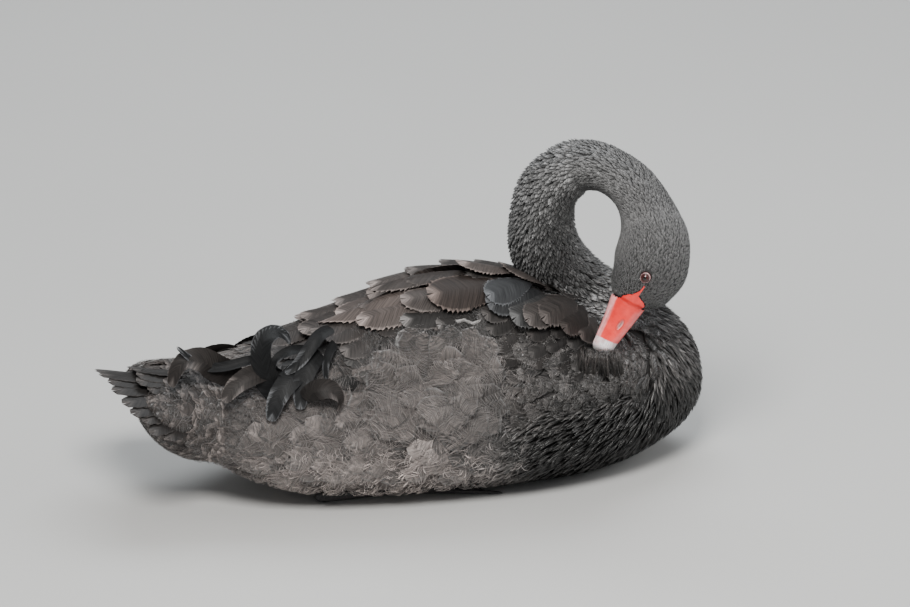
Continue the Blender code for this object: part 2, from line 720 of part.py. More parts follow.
def make_tail(cutters):
    tail = rump()
    vanes = []
    for count, spread, start, length, width, layer in TAIL_FANS:
        for turn in np.linspace(-spread, spread, count):
            over = layer + (TAIL_MIDDLE_LIFT if turn == 0 else 0.0)
            vanes.append(tail_vane(turn, start, length, width, over, TAIL_OVERLAP_TILT))
    join_all(tail, vanes)
    for cutter in cutters:
        cut_away(tail, cutter, keep_cutter=True)
    return keep_largest(tail)


def tapered_rod(name, start, end, start_radius, end_radius, sides=6):
    """A rod with its underside flat on the floor: its sections are circles cut off at the floor."""
    start, end = np.asarray(start, float), np.asarray(end, float)
    direction = unit(end - start)
    side = unit(np.cross((0.0, 0.0, 1.0), direction))
    up = np.cross(direction, side)
    turns = (np.arange(sides) + 0.5) * 2 * pi / sides
    rings = []
    for share in (0.0, 0.85, 1.0):
        radius = (start_radius + (end_radius - start_radius) * share) * (0.55 if share == 1.0 else 1.0)
        centre = start + (end - start) * share
        ring = centre + radius * (side * np.cos(turns)[:, None] + up * np.sin(turns)[:, None])
        ring[:, 2] = np.maximum(ring[:, 2], 0.0)
        rings.append(ring)
    return lofted(name, np.array(rings), None)


def outline_round(points, margin):
    """The convex outline, seen from above, of some points, moved outwards by a margin."""
    circle = margin * np.stack([np.cos(np.arange(8) * pi / 4), np.sin(np.arange(8) * pi / 4)], axis=1)
    flat = sorted(map(tuple, np.round((points[:, None, :2] + circle).reshape(-1, 2), 6)))

    def chain(run):
        kept = []
        for point in run:
            while len(kept) > 1:
                (ax, ay), (bx, by) = kept[-2:]
                if (bx - ax) * (point[1] - ay) - (by - ay) * (point[0] - ax) > 0:
                    break
                kept.pop()
            kept.append(point)
        return kept[:-1]

    return chain(flat) + chain(flat[::-1])


def pocket_over(leg):
    """What the body gives up to a folded leg: the leg's outline, raised from the floor to just over it."""
    points = np.array([tuple(corner.co) for corner in leg.data.vertices])
    outline = outline_round(points, 2 * GAP)
    top = points[:, 2].max() + GAP
    count = len(outline)
    corners = [(x, y, -0.01) for x, y in outline] + [(x, y, top) for x, y in outline]
    faces = [tuple(range(count)), tuple(range(2 * count - 1, count - 1, -1))]
    faces += [(i, (i + 1) % count, count + (i + 1) % count, count + i) for i in range(count)]
    return solid("pocket", corners, faces)


def make_leg(name, side):
    """Tarsus flat along the floor, hock behind, three long toes with webs between and a small hind toe."""
    root = np.array((TOE_ROOT_X, side * FOOT_OUT, TARSUS_RADIUS))
    hock = np.array((HOCK_X, side * FOOT_OUT, TARSUS_RADIUS * HOCK_SWELLS))
    leg = tapered_rod(name, hock, root + np.array((0.006, 0, 0)), TARSUS_RADIUS * HOCK_SWELLS, TARSUS_RADIUS)
    leg.data.materials.append(foot_skin())
    pieces = []
    tips = []
    for turn, length in TOES:
        heading = np.array((cos(radians(turn)), side * sin(radians(turn)), 0.0))
        toe_root = np.array((root[0] - 0.004, root[1], TOE_RADIUS))
        tip = toe_root + heading * length
        tip[2] = TOE_RADIUS * 0.6
        pieces.append(tapered_rod("toe", toe_root, tip, TOE_RADIUS * 1.1, TOE_RADIUS * 0.7))
        claw = tip + heading * CLAW_LENGTH
        claw[2] = CLAW_TIP_HEIGHT
        pieces.append(tapered_rod("claw", tip - heading * 0.003, claw, TOE_RADIUS * 0.55, 0.0009, 6))
        tips.append(tip - heading * 0.006)
    base = np.array((root[0] - 0.002, root[1], 0.0))
    for first, second in zip(tips, tips[1:]):
        bay = (first + second) / 2 - (first + second - 2 * base) / 2 * WEB_BAY
        low = np.array((base, first, bay, second))
        low[:, 2] = WEB_HEIGHT
        high = low + np.array((0, 0, WEB_THICKNESS))
        points = np.concatenate((low, high))
        faces = [(0, 1, 2), (0, 2, 3), (4, 6, 5), (4, 7, 6)]
        faces += [(i, (i + 1) % 4, 4 + (i + 1) % 4, 4 + i) for i in range(4)]
        pieces.append(solid("web", points, faces))
    mirrored = np.array((1, side, 1))
    hind_root = root + HIND_TOE_STARTS * mirrored
    hind_tip = root + HIND_TOE_ENDS * mirrored
    pieces.append(tapered_rod("hind_toe", hind_root, hind_tip, *HIND_TOE_RADII))
    pieces.append(ball("hock", hock, HOCK_HALF_SIZES, np.eye(3), 10, 6))
    # The exact solver turns these flat-bottomed pieces inside out, so the leg takes the other one.
    join_all(leg, pieces, solver="MANIFOLD")
    floor_cut = box("floor", (-1, -1, -1), (1, 1, 0.0))
    cut_away(leg, floor_cut, solver="MANIFOLD")
    return keep_largest(leg)


def finish(names):
    """Shades each node smooth, puts its origin at its middle, and hangs them all from one empty."""
    holder = bpy.data.objects.new("black_swan", None)
    bpy.context.scene.collection.objects.link(holder)
    for name in names:
        thing = bpy.data.objects[name]
        points = np.array([tuple(corner.co) for corner in thing.data.vertices])
        middle = Vector((points.min(axis=0) + points.max(axis=0)) / 2)
        thing.data.transform(Matrix.Translation(-middle))
        thing.data.shade_smooth()
        thing.data.set_sharp_from_angle(angle=radians(45))
        thing.location = middle
        thing.parent = holder


def main():
    clear_scene()
    torso = make_body()
    make_head()
    neck = make_neck()
    make_bill()
    body_cutter = grown(torso, BODY_CUTS_WIDER)
    for part in neck[-2:]:
        cut_away(part, body_cutter, keep_cutter=True)
        keep_largest(part)
    neck_cutters = [grown(part, NECK_CUTS_WIDER) for part in neck[1:]]
    tail_cutter = grown(make_tail([body_cutter]), GAP)
    for name, side in (("wing_right", -1), ("wing_left", 1)):
        plane = box("plane", (-1, -side * 1.0, -1), (1, side * SPINE_CLEARANCE, 1))
        make_wing(name, side, [body_cutter, tail_cutter, *neck_cutters, plane])
        bpy.data.objects.remove(plane, do_unlink=True)
    for name, side in (("leg_right", -1), ("leg_left", 1)):
        cut_away(torso, pocket_over(make_leg(name, side)))
    keep_largest(torso)
    for cutter in (body_cutter, tail_cutter, *neck_cutters):
        bpy.data.objects.remove(cutter, do_unlink=True)
    finish([thing.name for thing in bpy.data.objects])


main()
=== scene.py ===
"""A black swan preening, at rest on its belly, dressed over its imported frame.

+X points to the breast, +Y to the bird's left and +Z up. Lengths are in metres.
"""

import bpy
import numpy as np
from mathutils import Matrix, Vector


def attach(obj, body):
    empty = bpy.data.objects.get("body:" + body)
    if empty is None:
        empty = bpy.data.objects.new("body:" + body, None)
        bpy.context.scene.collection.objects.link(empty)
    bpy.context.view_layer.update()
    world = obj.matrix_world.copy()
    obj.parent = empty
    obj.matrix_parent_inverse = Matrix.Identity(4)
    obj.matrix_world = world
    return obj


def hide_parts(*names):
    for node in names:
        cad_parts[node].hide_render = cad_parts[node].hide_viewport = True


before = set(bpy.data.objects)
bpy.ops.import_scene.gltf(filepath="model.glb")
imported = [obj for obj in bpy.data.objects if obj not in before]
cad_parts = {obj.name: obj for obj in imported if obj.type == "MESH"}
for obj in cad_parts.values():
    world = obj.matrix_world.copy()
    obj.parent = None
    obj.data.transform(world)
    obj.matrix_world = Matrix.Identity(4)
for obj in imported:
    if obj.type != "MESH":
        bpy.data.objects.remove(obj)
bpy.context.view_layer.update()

# Skin of the body, neck and head.
# The living skin is one closed hide with no seam, and carries every feather.
# Three overlapping shells are melted into one, smoothed, and drawn in by the depth of the coat.
BODY_LENGTH = 0.575
BODY_MIDDLE_X = 0.0175
BODY_SHARES = np.linspace(0.0, 1.0, 11)
HALF_WIDTHS = (0, 0.050, 0.082, 0.103, 0.117, 0.1255, 0.1245, 0.106, 0.075, 0.040, 0)
BACK_RISES = (0, 0.025, 0.041, 0.060, 0.087, 0.115, 0.114, 0.097, 0.082, 0.050, 0)
BELLY_DROPS = (0, 0.032, 0.062, 0.0835, 0.0915, 0.0915, 0.0905, 0.0865, 0.068, 0.037, 0)
WIDEST_HEIGHTS = (0.108, 0.104, 0.099, 0.093, 0.089, 0.088, 0.087, 0.086, 0.085, 0.080, 0.076)
BACK_FULLNESS = 2.2
BELLY_FULLNESS = 2.4
WING_BACK_X = -0.155
WING_FRONT_X = 0.160
WING_TOP_ANGLES = (6, 4, 4, 4, 10, 30)
WING_LOW_ANGLES = (48, 54, 56, 56, 58, 58)
WING_THICKNESS = 0.011
RIGHT_WING_LIFTS = (0.002, 0.014, 0.027, 0.027, 0.018, 0.002)
BILL_ROOT = np.array((0.1993, -0.093, 0.2086))
BILL_POINTS_TO = np.array((-0.459, -0.104, -0.881))
CROWN_FACES = np.array((0.656, -0.709, -0.258))
HEAD_AXIS = (
    (0.000, 0.001), (0.015, 0.0022), (0.031, 0.0050), (0.046, 0.0055), (0.061, 0.0024), (0.076, -0.0052),
)
NECK_AXIS = (
    (0.2296, -0.0726, 0.2925), (0.2121, -0.0536, 0.3281), (0.1722, -0.0243, 0.3415),
    (0.1383, -0.0016, 0.3073), (0.1342, 0.0077, 0.2668), (0.1404, 0.0164, 0.2311),
    (0.1703, 0.0159, 0.1862), (0.2070, 0.0030, 0.1450), (0.2370, 0.0000, 0.0960),
)
TUBE_HALF_DEPTHS = (
    0.0195, 0.0327, 0.0389, 0.0437, 0.0419, 0.0398,
    0.0333, 0.0266, 0.0282, 0.0326, 0.0357, 0.0395, 0.0370, 0.0500, 0.0560,
)
TUBE_HALF_WIDTHS = (
    0.0165, 0.0235, 0.0285, 0.0310, 0.0320, 0.0325,
    0.0320, 0.0290, 0.0270, 0.0310, 0.0350, 0.0380, 0.0420, 0.0510, 0.0560,
)
RUMP_STATIONS_X = (-0.312, -0.300, -0.284, -0.262, -0.236, -0.200)
RUMP_HALF_WIDTHS = (0.036, 0.060, 0.070, 0.072, 0.070, 0.060)
RUMP_RISES = (0.003, 0.010, 0.021, 0.030, 0.032, 0.026)
RUMP_DROPS = (0.014, 0.038, 0.053, 0.062, 0.068, 0.060)
RUMP_HEIGHTS = (0.130, 0.126, 0.121, 0.115, 0.112, 0.110)
BODY_CORE_HEIGHT = 0.09
WING_CORE_HEIGHT = 0.088
BODY_RINGS = 89
BODY_SIDES = 120
TUBE_SIDES = 56
NECK_RINGS = 150
RUMP_RINGS = 30
UNWRAP_BACK_X = -0.34
UNWRAP_LENGTH = 0.66
SKIN_VOXEL = 0.0035
FLOOR_CLEARANCE = 0.0006
COAT_DEPTHS = ((0.0, 0.0012), (0.03, 0.0020), (0.09, 0.0024), (0.20, 0.0034), (0.34, 0.0050))
BREAST_GREY = 0.009
FLANK_GREY = 0.095
WATERLINE_GREY = 0.178
UPPER_BREAST_GREY = 0.100
RUMP_DARKENED = 0.62
WING_EDGE_PAINTED_SHADE = 0.80
NECK_LOOP_PAINTED_SHADE = 0.68
NECK_GREYS = (
    (0, 0.046), (0.012, 0.040), (0.03, 0.056), (0.06, 0.100), (0.09, 0.104), (0.16, 0.080), (0.22, 0.064),
    (0.30, 0.064), (0.38, 0.048),
)


def unit(vectors):
    """Each vector divided by its own length."""
    vectors = np.asarray(vectors, float)
    return vectors / np.maximum(np.linalg.norm(vectors, axis=-1, keepdims=True), 1e-12)


def through(stations, values, at):
    """A smooth curve through the values: on each piece, a cubic with the mean slope at its ends."""
    stations = np.asarray(stations, float)
    values = np.asarray(values, float)
    at = np.clip(np.asarray(at, float), stations[0], stations[-1])
    slopes = np.gradient(values, stations, axis=0)
    i = np.clip(np.searchsorted(stations, at, side="right") - 1, 0, len(stations) - 2)
    step = stations[i + 1] - stations[i]
    t = (at - stations[i]) / step
    if values.ndim > 1:
        t, step = t[..., None], step[..., None]
    return (
        (2 * t**3 - 3 * t**2 + 1) * values[i]
        + (t**3 - 2 * t**2 + t) * step * slopes[i]
        + (3 * t**2 - 2 * t**3) * values[i + 1]
        + (t**3 - t**2) * step * slopes[i + 1]
    )


def ease(low, high, value):
    """0 below low, 1 above high, and between them the smooth step 3t² - 2t³."""
    t = np.clip((np.asarray(value, float) - low) / (high - low), 0, 1)
    return t * t * (3 - 2 * t)


def body_surface(x, angle):
    """The body at x, at an angle from the spine: a superellipse section,

    y = width · sin^p and z = middle + rise · cos^p, with p = 2 / fullness, sizes following x.
    """
    x, angle = np.broadcast_arrays(np.asarray(x, float), np.asarray(angle, float))
    share = np.arccos(np.clip((BODY_MIDDLE_X - x) / (BODY_LENGTH / 2), -1, 1)) / np.pi
    upper = np.cos(angle) >= 0
    power = 2 / np.where(upper, BACK_FULLNESS, BELLY_FULLNESS)
    tall = np.where(upper, through(BODY_SHARES, BACK_RISES, share), -through(BODY_SHARES, BELLY_DROPS, share))
    y = through(BODY_SHARES, HALF_WIDTHS, share) * np.sign(np.sin(angle)) * np.abs(np.sin(angle)) ** power
    z = through(BODY_SHARES, WIDEST_HEIGHTS, share) + tall * np.abs(np.cos(angle)) ** power
    return np.stack((x, y, z), axis=-1)


def over_body(x, angle, height):
    """The body's surface moved out along its own normal, the cross product of its two slopes."""
    small = 1e-3
    here = body_surface(x, angle)
    forward = body_surface(x + small, angle) - body_surface(x - small, angle)
    around = body_surface(x, angle + small) - body_surface(x, angle - small)
    normal = unit(np.cross(around, forward))
    from_core = here - np.array((0.0, 0.0, BODY_CORE_HEIGHT))
    outward = np.sign(np.sum(normal * from_core, axis=-1, keepdims=True))
    return here + normal * outward * np.asarray(height, float)[..., None]


def wing_swell(x, angle):
    """How far the folded wing stands over the body at x and an angle in radians from the spine.

    thickness · √(sin πs · sin πt) over the wing's own two parameters, with the loosened right
    wing's top edge lifted by lift · cos^1.5(πs / 2).
    """
    stations = np.linspace(WING_BACK_X, WING_FRONT_X, len(WING_TOP_ANGLES))
    top = np.radians(through(stations, WING_TOP_ANGLES, x))
    low = np.radians(through(stations, WING_LOW_ANGLES, x))
    s = np.clip((np.abs(angle) - top) / (low - top), 0, 1)
    t = np.clip((x - WING_BACK_X) / (WING_FRONT_X - WING_BACK_X), 0, 1)
    full = np.sqrt(np.clip(np.sin(np.pi * s) * np.sin(np.pi * t), 0, 1))
    lift = np.interp(t, np.linspace(0, 1, len(RIGHT_WING_LIFTS)), RIGHT_WING_LIFTS)
    inside = (t > 0) & (t < 1) & (np.abs(angle) > top * 0.6)
    lift = lift * np.cos(np.pi / 2 * s) ** 1.5 * (angle < 0) * inside
    return WING_THICKNESS * full * np.where(angle < 0, 1.0, 0.7) + lift


head_back = -unit(BILL_POINTS_TO)
head_crown = unit(CROWN_FACES - head_back * np.dot(CROWN_FACES, head_back))
head_right = np.cross(-head_back, head_crown)


def neck_frames():
    """The bent tube of head and neck as rows of centre, heading, crown direction and half sizes.

    The axis is a smooth curve over its chord length; the crown direction is carried along it.
    """
    head = [BILL_ROOT + head_back * behind + head_crown * rise for behind, rise in HEAD_AXIS]
    axis = np.array([*head, *NECK_AXIS])
    chords = np.concatenate(((0,), np.cumsum(np.linalg.norm(np.diff(axis, axis=0), axis=1))))
    at = np.linspace(0, chords[-1], 700)
    centre = through(chords, axis, at)
    heading = unit(np.gradient(centre, axis=0))
    crowns = [head_crown]
    for direction in heading[1:]:
        crowns.append(unit(crowns[-1] - direction * np.dot(crowns[-1], direction)))
    depth = through(chords, TUBE_HALF_DEPTHS, at)
    width = through(chords, TUBE_HALF_WIDTHS, at)
    return chords, at, centre, heading, np.array(crowns), depth, width


neck_chords, neck_at, neck_centre, neck_heading, neck_crown, neck_depth, neck_width = neck_frames()


def along_neck(table, at):
    """A table of rows along the neck, read between its rows."""
    if table.ndim == 1:
        return np.interp(at, neck_at, table)
    return np.stack([np.interp(at, neck_at, table[:, k]) for k in range(3)], axis=-1)


def neck_surface(at, turn):
    """The tube at a distance along its axis: an ellipse, centre + crown·depth·cos + side·width·sin."""
    at, turn = np.broadcast_arrays(np.asarray(at, float), np.asarray(turn, float))
    crown = unit(along_neck(neck_crown, at))
    side = np.cross(unit(along_neck(neck_heading, at)), crown)
    tall = along_neck(neck_depth, at) * np.cos(turn)
    wide = along_neck(neck_width, at) * np.sin(turn)
    return along_neck(neck_centre, at) + crown * tall[..., None] + side * wide[..., None]


def near_neck(points):
    """For each point, how far along the neck's axis it lies, and its distance from it in radii."""
    rows = slice(None, None, 4)
    centres = neck_centre[rows]
    radii = (neck_depth[rows] + neck_width[rows]) / 2
    gaps = np.sqrt(np.maximum(
        np.sum(points**2, axis=1)[:, None] + np.sum(centres**2, axis=1) - 2 * points @ centres.T, 0
    )) / radii
    nearest = np.argmin(gaps, axis=1)
    return neck_at[rows][nearest], gaps[np.arange(len(points)), nearest]


def tube_faces(rings, sides, first=0):
    """Quads between neighbouring rings of a closed tube, and triangles from each end ring to its pole."""
    ring, side = np.meshgrid(np.arange(rings - 1), np.arange(sides), indexing="ij")
    a = first + ring * sides + side
    b = first + ring * sides + (side + 1) % sides
    quads = np.stack((a, b, b + sides, a + sides), axis=-1).reshape(-1, 4)
    turn = np.arange(sides)
    beside = (turn + 1) % sides
    last = first + (rings - 1) * sides
    low = np.stack((np.full(sides, first + rings * sides), first + beside, first + turn), axis=-1)
    high = np.stack((np.full(sides, first + rings * sides + 1), last + turn, last + beside), axis=-1)
    return quads, np.concatenate((low, high))


def tube_points(rings):
    """The rings of a tube followed by the middle of its first and of its last ring."""
    return np.concatenate((rings.reshape(-1, 3), [rings[0].mean(axis=0), rings[-1].mean(axis=0)]))


def woven(name, points, quads, triangles=np.empty((0, 3), int)):
    """A mesh object straight from whole arrays of points, quads and triangles."""
    mesh = bpy.data.meshes.new(name)
    corners = np.concatenate((quads.ravel(), triangles.ravel())).astype(np.int32)
    sizes = np.concatenate((np.full(len(quads), 4), np.full(len(triangles), 3)))
    mesh.vertices.add(len(points))
    mesh.vertices.foreach_set("co", np.asarray(points, np.float32).ravel())
    mesh.loops.add(len(corners))
    mesh.loops.foreach_set("vertex_index", corners)
    mesh.polygons.add(len(sizes))
    mesh.polygons.foreach_set("loop_start", (np.cumsum(sizes) - sizes).astype(np.int32))
    mesh.update(calc_edges=True)
    mesh.shade_smooth()
    thing = bpy.data.objects.new(name, mesh)
    bpy.context.scene.collection.objects.link(thing)
    return thing


def vertices_of(thing, what="co"):
    """The places, or the normals, of a mesh's vertices as one array."""
    flat = np.empty(len(thing.data.vertices) * 3, np.float32)
    thing.data.vertices.foreach_get(what, flat)
    return flat.reshape(-1, 3).astype(float)


def shells_of_the_body():
    """Body with its folded wings, head with neck, and rump, as three closed tubes in one mesh."""
    xs = BODY_MIDDLE_X - BODY_LENGTH / 2 * np.cos(np.pi * np.linspace(0, 1, BODY_RINGS + 2)[1:-1])
    turns = (np.arange(BODY_SIDES) + 0.5) * 2 * np.pi / BODY_SIDES
    angle = np.broadcast_to(np.where(turns > np.pi, turns - 2 * np.pi, turns), (BODY_RINGS, BODY_SIDES))
    x = np.broadcast_to(xs[:, None], angle.shape)
    body = over_body(x, angle, wing_swell(x, angle))
    body[..., 2] = np.maximum(body[..., 2], 0.0)
    turn = np.arange(TUBE_SIDES) * 2 * np.pi / TUBE_SIDES
    neck = neck_surface(np.linspace(0.0, neck_chords[-1] - 0.004, NECK_RINGS)[:, None], turn[None])
    rump_x = np.linspace(RUMP_STATIONS_X[0], RUMP_STATIONS_X[-1], RUMP_RINGS)
    half, rise, drop, height = (
        through(RUMP_STATIONS_X, sizes, rump_x)[:, None]
        for sizes in (RUMP_HALF_WIDTHS, RUMP_RISES, RUMP_DROPS, RUMP_HEIGHTS)
    )
    tall = np.where(np.cos(turn) > 0, rise, drop) * np.cos(turn)
    rump = np.stack(np.broadcast_arrays(rump_x[:, None], half * np.sin(turn), height + tall), axis=-1)
    points, quads, triangles, first = [], [], [], 0
    for rings in (body, neck, rump):
        four, three = tube_faces(*rings.shape[:2], first)
        points.append(tube_points(rings))
        quads.append(four)
        triangles.append(three)
        first += len(points[-1])
    return np.concatenate(points), np.concatenate(quads), np.concatenate(triangles)


skin = woven("skin", *shells_of_the_body())
melt = skin.modifiers.new("one hide", "REMESH")
melt.mode = "VOXEL"
melt.voxel_size = SKIN_VOXEL
soften = skin.modifiers.new("soften", "SMOOTH")
soften.factor = 0.5
soften.iterations = 14
bpy.context.view_layer.update()
skin.data = bpy.data.meshes.new_from_object(skin.evaluated_get(bpy.context.evaluated_depsgraph_get()))
skin.modifiers.clear()
skin.data.shade_smooth()
skin_points = vertices_of(skin)
skin_normals = vertices_of(skin, "normal")
skin_at, skin_radii = near_neck(skin_points)
coat_depth = np.interp(skin_at, *np.array(COAT_DEPTHS).T)
coat_depth = np.where(skin_radii < 1.25, coat_depth, COAT_DEPTHS[-1][1])
skin_points -= skin_normals * coat_depth[:, None]
skin_points[:, 2] = np.maximum(skin_points[:, 2], COAT_DEPTHS[-1][1])
skin.data.vertices.foreach_set("co", skin_points.astype(np.float32).ravel())
skin.data.update()
skin_points = vertices_of(skin)
skin_normals = vertices_of(skin, "normal")


def unwrapped(points):
    """The hide laid flat: angle round the axis across, distance along it up; the neck beside the body."""
    at, radii = near_neck(points)
    centre = along_neck(neck_centre, at)
    crown = along_neck(neck_crown, at)
    side = np.cross(along_neck(neck_heading, at), crown)
    out = points - centre
    neck_turn = np.arctan2(np.sum(out * side, axis=1), np.sum(out * crown, axis=1))
    body_turn = np.arctan2(points[:, 1], points[:, 2] - BODY_CORE_HEIGHT)
    on_neck = (radii < 1.2) & (at < neck_chords[13])
    u = np.where(on_neck, 0.75 + 0.23 * neck_turn / np.pi, 0.25 + 0.23 * body_turn / np.pi)
    along = np.where(on_neck, at / neck_chords[-1], (points[:, 0] - UNWRAP_BACK_X) / UNWRAP_LENGTH)
    v = 0.02 + 0.96 * along
    return np.stack((u, v), axis=1)


def plumage_tone(points):
    """The bird's own colours over its body, from place alone: (grey of the coat, warmth of it).

    Black breast, slate grey neck and head, browner side and flanks, palest by the waterline. The rump is
    darkened, and painted shade darkens the strip under the edge of the right wing and the inside of the
    neck's loop.
    """
    x, y, z = points.T
    at, radii = near_neck(points)
    on_neck = 1 - ease(1.15, 1.5, radii)
    on_neck *= 1 - ease(neck_chords[12], neck_chords[14], at)
    flank = 1 - ease(-0.02, 0.13, x + 0.016 * np.sin(60 * z + 40 * x))
    low = 1 - ease(0.030, 0.120, z)
    grey = BREAST_GREY + FLANK_GREY * flank + WATERLINE_GREY * flank * low
    grey += UPPER_BREAST_GREY * ease(0.080, 0.145, z) * (1 - flank) * (1 - 0.4 * ease(0.19, 0.24, x))
    grey *= 1 - RUMP_DARKENED * ease(-0.15, -0.24, x)
    angle = np.degrees(np.arctan2(np.abs(y), z - WING_CORE_HEIGHT))
    # painted shade: the coat under the right wing's lower edge is darkened as if in the wing's shadow
    under_wing_painted_shade = ease(53, 40, angle) * (y < 0) * ease(-0.15, -0.12, x) * ease(0.11, 0.07, x)
    grey *= 1 - WING_EDGE_PAINTED_SHADE * under_wing_painted_shade
    warmth = 0.34 * flank + 0.16
    neck_grey = np.interp(at, *np.array(NECK_GREYS).T)
    # painted shade: the side of the neck that faces the middle of its loop is darkened as if shaded by the
    # loop
    loop_painted_shade = -np.sum((points - along_neck(neck_centre, at)) * unit(along_neck(neck_crown, at)), axis=1)
    loop_painted_shade = ease(0.0, 0.8, loop_painted_shade / along_neck(neck_depth, at))
    neck_grey *= 1 - NECK_LOOP_PAINTED_SHADE * loop_painted_shade * ease(0.11, 0.17, at) * (1 - ease(0.36, 0.42, at))
    grey = grey * (1 - on_neck) + neck_grey * on_neck
    warmth = warmth * (1 - on_neck) - 0.10 * on_neck
    return grey, warmth


def tinted(grey, warmth):
    """Linear colours of a grey pulled towards brown, or towards slate blue where warmth is below 0."""
    brown = np.array((1.22, 0.96, 0.86))
    slate = np.array((0.90, 1.0, 1.14))
    warmth = np.asarray(warmth)[..., None]
    tint = 1 + np.clip(warmth, 0, 1) * (brown - 1) + np.clip(-warmth, 0, 1) * (slate - 1)
    return np.asarray(grey)[..., None] * tint


def wear_map(thing, name, flat):
    """A UV map given at the vertices, read out to every corner."""
    corners = np.empty(len(thing.data.loops), np.int32)
    thing.data.loops.foreach_get("vertex_index", corners)
    layer = thing.data.uv_layers.new(name=name)
    layer.uv.foreach_set("vector", np.asarray(flat, np.float32)[corners].ravel())


def wear_colour(thing, colours):
    """The colour attribute called plume, one linear colour a vertex."""
    layer = thing.data.color_attributes.new(name="plume", type="FLOAT_COLOR", domain="POINT")
    rgba = np.concatenate((colours, np.ones((len(colours), 1))), axis=1)
    layer.data.foreach_set("color", rgba.astype(np.float32).ravel())


def finish(name, scale, low, high, relief=None, detail=2.0, grain=0.5, cells=False, barbs=None, plume=True,
           **sockets):
    """A finish: a colour ramp over one pattern, times the plume colour, with bumps from the same pattern.

    The pattern is a noise, or the distance to the seams of cells, in Object coordinates. With barbs it
    is stretched over the vane map, that many streaks to its length. low and high are the ramp's stops,
    each a position and a colour. The sockets are the shader's own.
    """
    made = bpy.data.materials.new(name)
    made.use_nodes = True
    nodes, links = made.node_tree.nodes, made.node_tree.links
    shader = nodes["Principled BSDF"]
    for socket, value in sockets.items():
        shader.inputs[socket.replace("_", " ")].default_value = value
    pattern = nodes.new("ShaderNodeTexVoronoi" if cells else "ShaderNodeTexNoise")
    pattern.inputs["Scale"].default_value = scale
    if cells:
        pattern.feature = "DISTANCE_TO_EDGE"
    else:
        pattern.inputs["Detail"].default_value = detail
        pattern.inputs["Roughness"].default_value = grain
    if barbs is None:
        place = nodes.new("ShaderNodeTexCoord").outputs["Object"]
    else:
        pattern.noise_dimensions = "2D"
        vane_map = nodes.new("ShaderNodeUVMap")
        vane_map.uv_map = "vane"
        stretch = nodes.new("ShaderNodeMapping")
        stretch.inputs["Scale"].default_value = (1.3, barbs, 1.0)
        links.new(vane_map.outputs["UV"], stretch.inputs["Vector"])
        place = stretch.outputs["Vector"]
    links.new(place, pattern.inputs["Vector"])
    value = pattern.outputs["Distance" if cells else "Fac"]
    shades = nodes.new("ShaderNodeValToRGB")
    for stop, (position, *colour) in zip(shades.color_ramp.elements, (low, high)):
        stop.position = position
        stop.color = (*colour, 1)
    links.new(value, shades.inputs["Fac"])
    colour = shades.outputs["Color"]
    if plume:
        own = nodes.new("ShaderNodeAttribute")
        own.attribute_name = "plume"
        blend = nodes.new("ShaderNodeMix")
        blend.data_type = "RGBA"
        blend.blend_type = "MULTIPLY"
        blend.inputs["Factor"].default_value = 1.0
        links.new(own.outputs["Color"], blend.inputs["A"])
        links.new(colour, blend.inputs["B"])
        colour = blend.outputs["Result"]
    links.new(colour, shader.inputs["Base Color"])
    if relief:
        bump = nodes.new("ShaderNodeBump")
        bump.inputs["Strength"].default_value = relief[0]
        bump.inputs["Distance"].default_value = relief[1]
        links.new(value, bump.inputs["Height"])
        links.new(bump.outputs["Normal"], shader.inputs["Normal"])
    return made


# down over skin: the coat's own colour, mottled by a fine noise
down = finish("down", 260.0, (0.0, 0.45, 0.45, 0.45), (1.0, 1.25, 1.25, 1.25), relief=(0.5, 0.001),
              detail=4.0, Roughness=0.9, Specular_IOR_Level=0.2)
wear_colour(skin, 0.55 * tinted(*plumage_tone(skin_points)))
wear_map(skin, "OFBake", unwrapped(skin_points))
skin.data.materials.append(down)
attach(skin, "root")
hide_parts("torso", "neck_base", "neck_lower", "neck_middle", "neck_upper", "head")

# Coat of the head and neck.
# Short close tufts on the head, longer ruffled ones with pale tips down the neck.
# Each tuft is a thin closed vane rooted in the hide, laid backwards along it in staggered rows.
PATCH_SIZE = 0.0026
EYE_RADIUS = 0.0062
EYE_BEHIND_BILL = 0.0385
EYE_RISE = 0.0168
EYE_OUT = 0.0258
NECK_RADIUS = 0.034
CLEAR_OF_EYE = 0.0066
MOST_INSIDE = 0.0095
BARE_TURNS = (
    0, 10, 20, 30, 37.4, 41.6, 48.2, 53.6, 59.3, 64.8, 65.6, 66.6, 68.4, 69.5, 72.8, 76.7, 83, 90.8, 96,
    102.2, 116.6, 150, 180,
)
BARE_ENDS = (
    1.0, 1.4, 2.6, 5.5, 9.3, 10.4, 12.0, 13.4, 15.0, 17.0, 24, 31, 31, 23.8, 19.2, 14.6, 11.6, 8.9, 6.2, 3.2,
    2.2, 1.2, 0.8,
)
HEAD_END = neck_chords[6]
NECK_RUFFLED_FROM = neck_chords[8] + 0.006
eye_middles = {
    side: BILL_ROOT + head_back * EYE_BEHIND_BILL + head_crown * EYE_RISE + head_right * side * EYE_OUT
    for side in (1, -1)
}
eye_looks = {side: unit(head_right * side * 0.95 + head_crown * 0.26 - head_back * 0.17) for side in (1, -1)}


def plume_finish(name, roughness, barbs, relief, sheen=0.0, gloss=0.35):
    """Feather: its own colour, streaked along the barbs, which the vane map counts along its v."""
    return finish(name, 1.0, (0.32, 0.52, 0.52, 0.52), (0.68, 1.45, 1.42, 1.40), relief=(relief, 0.0006),
                  detail=3.0, grain=0.62, barbs=barbs, Roughness=roughness, Specular_IOR_Level=gloss,
                  Sheen_Weight=sheen, Sheen_Roughness=0.5)


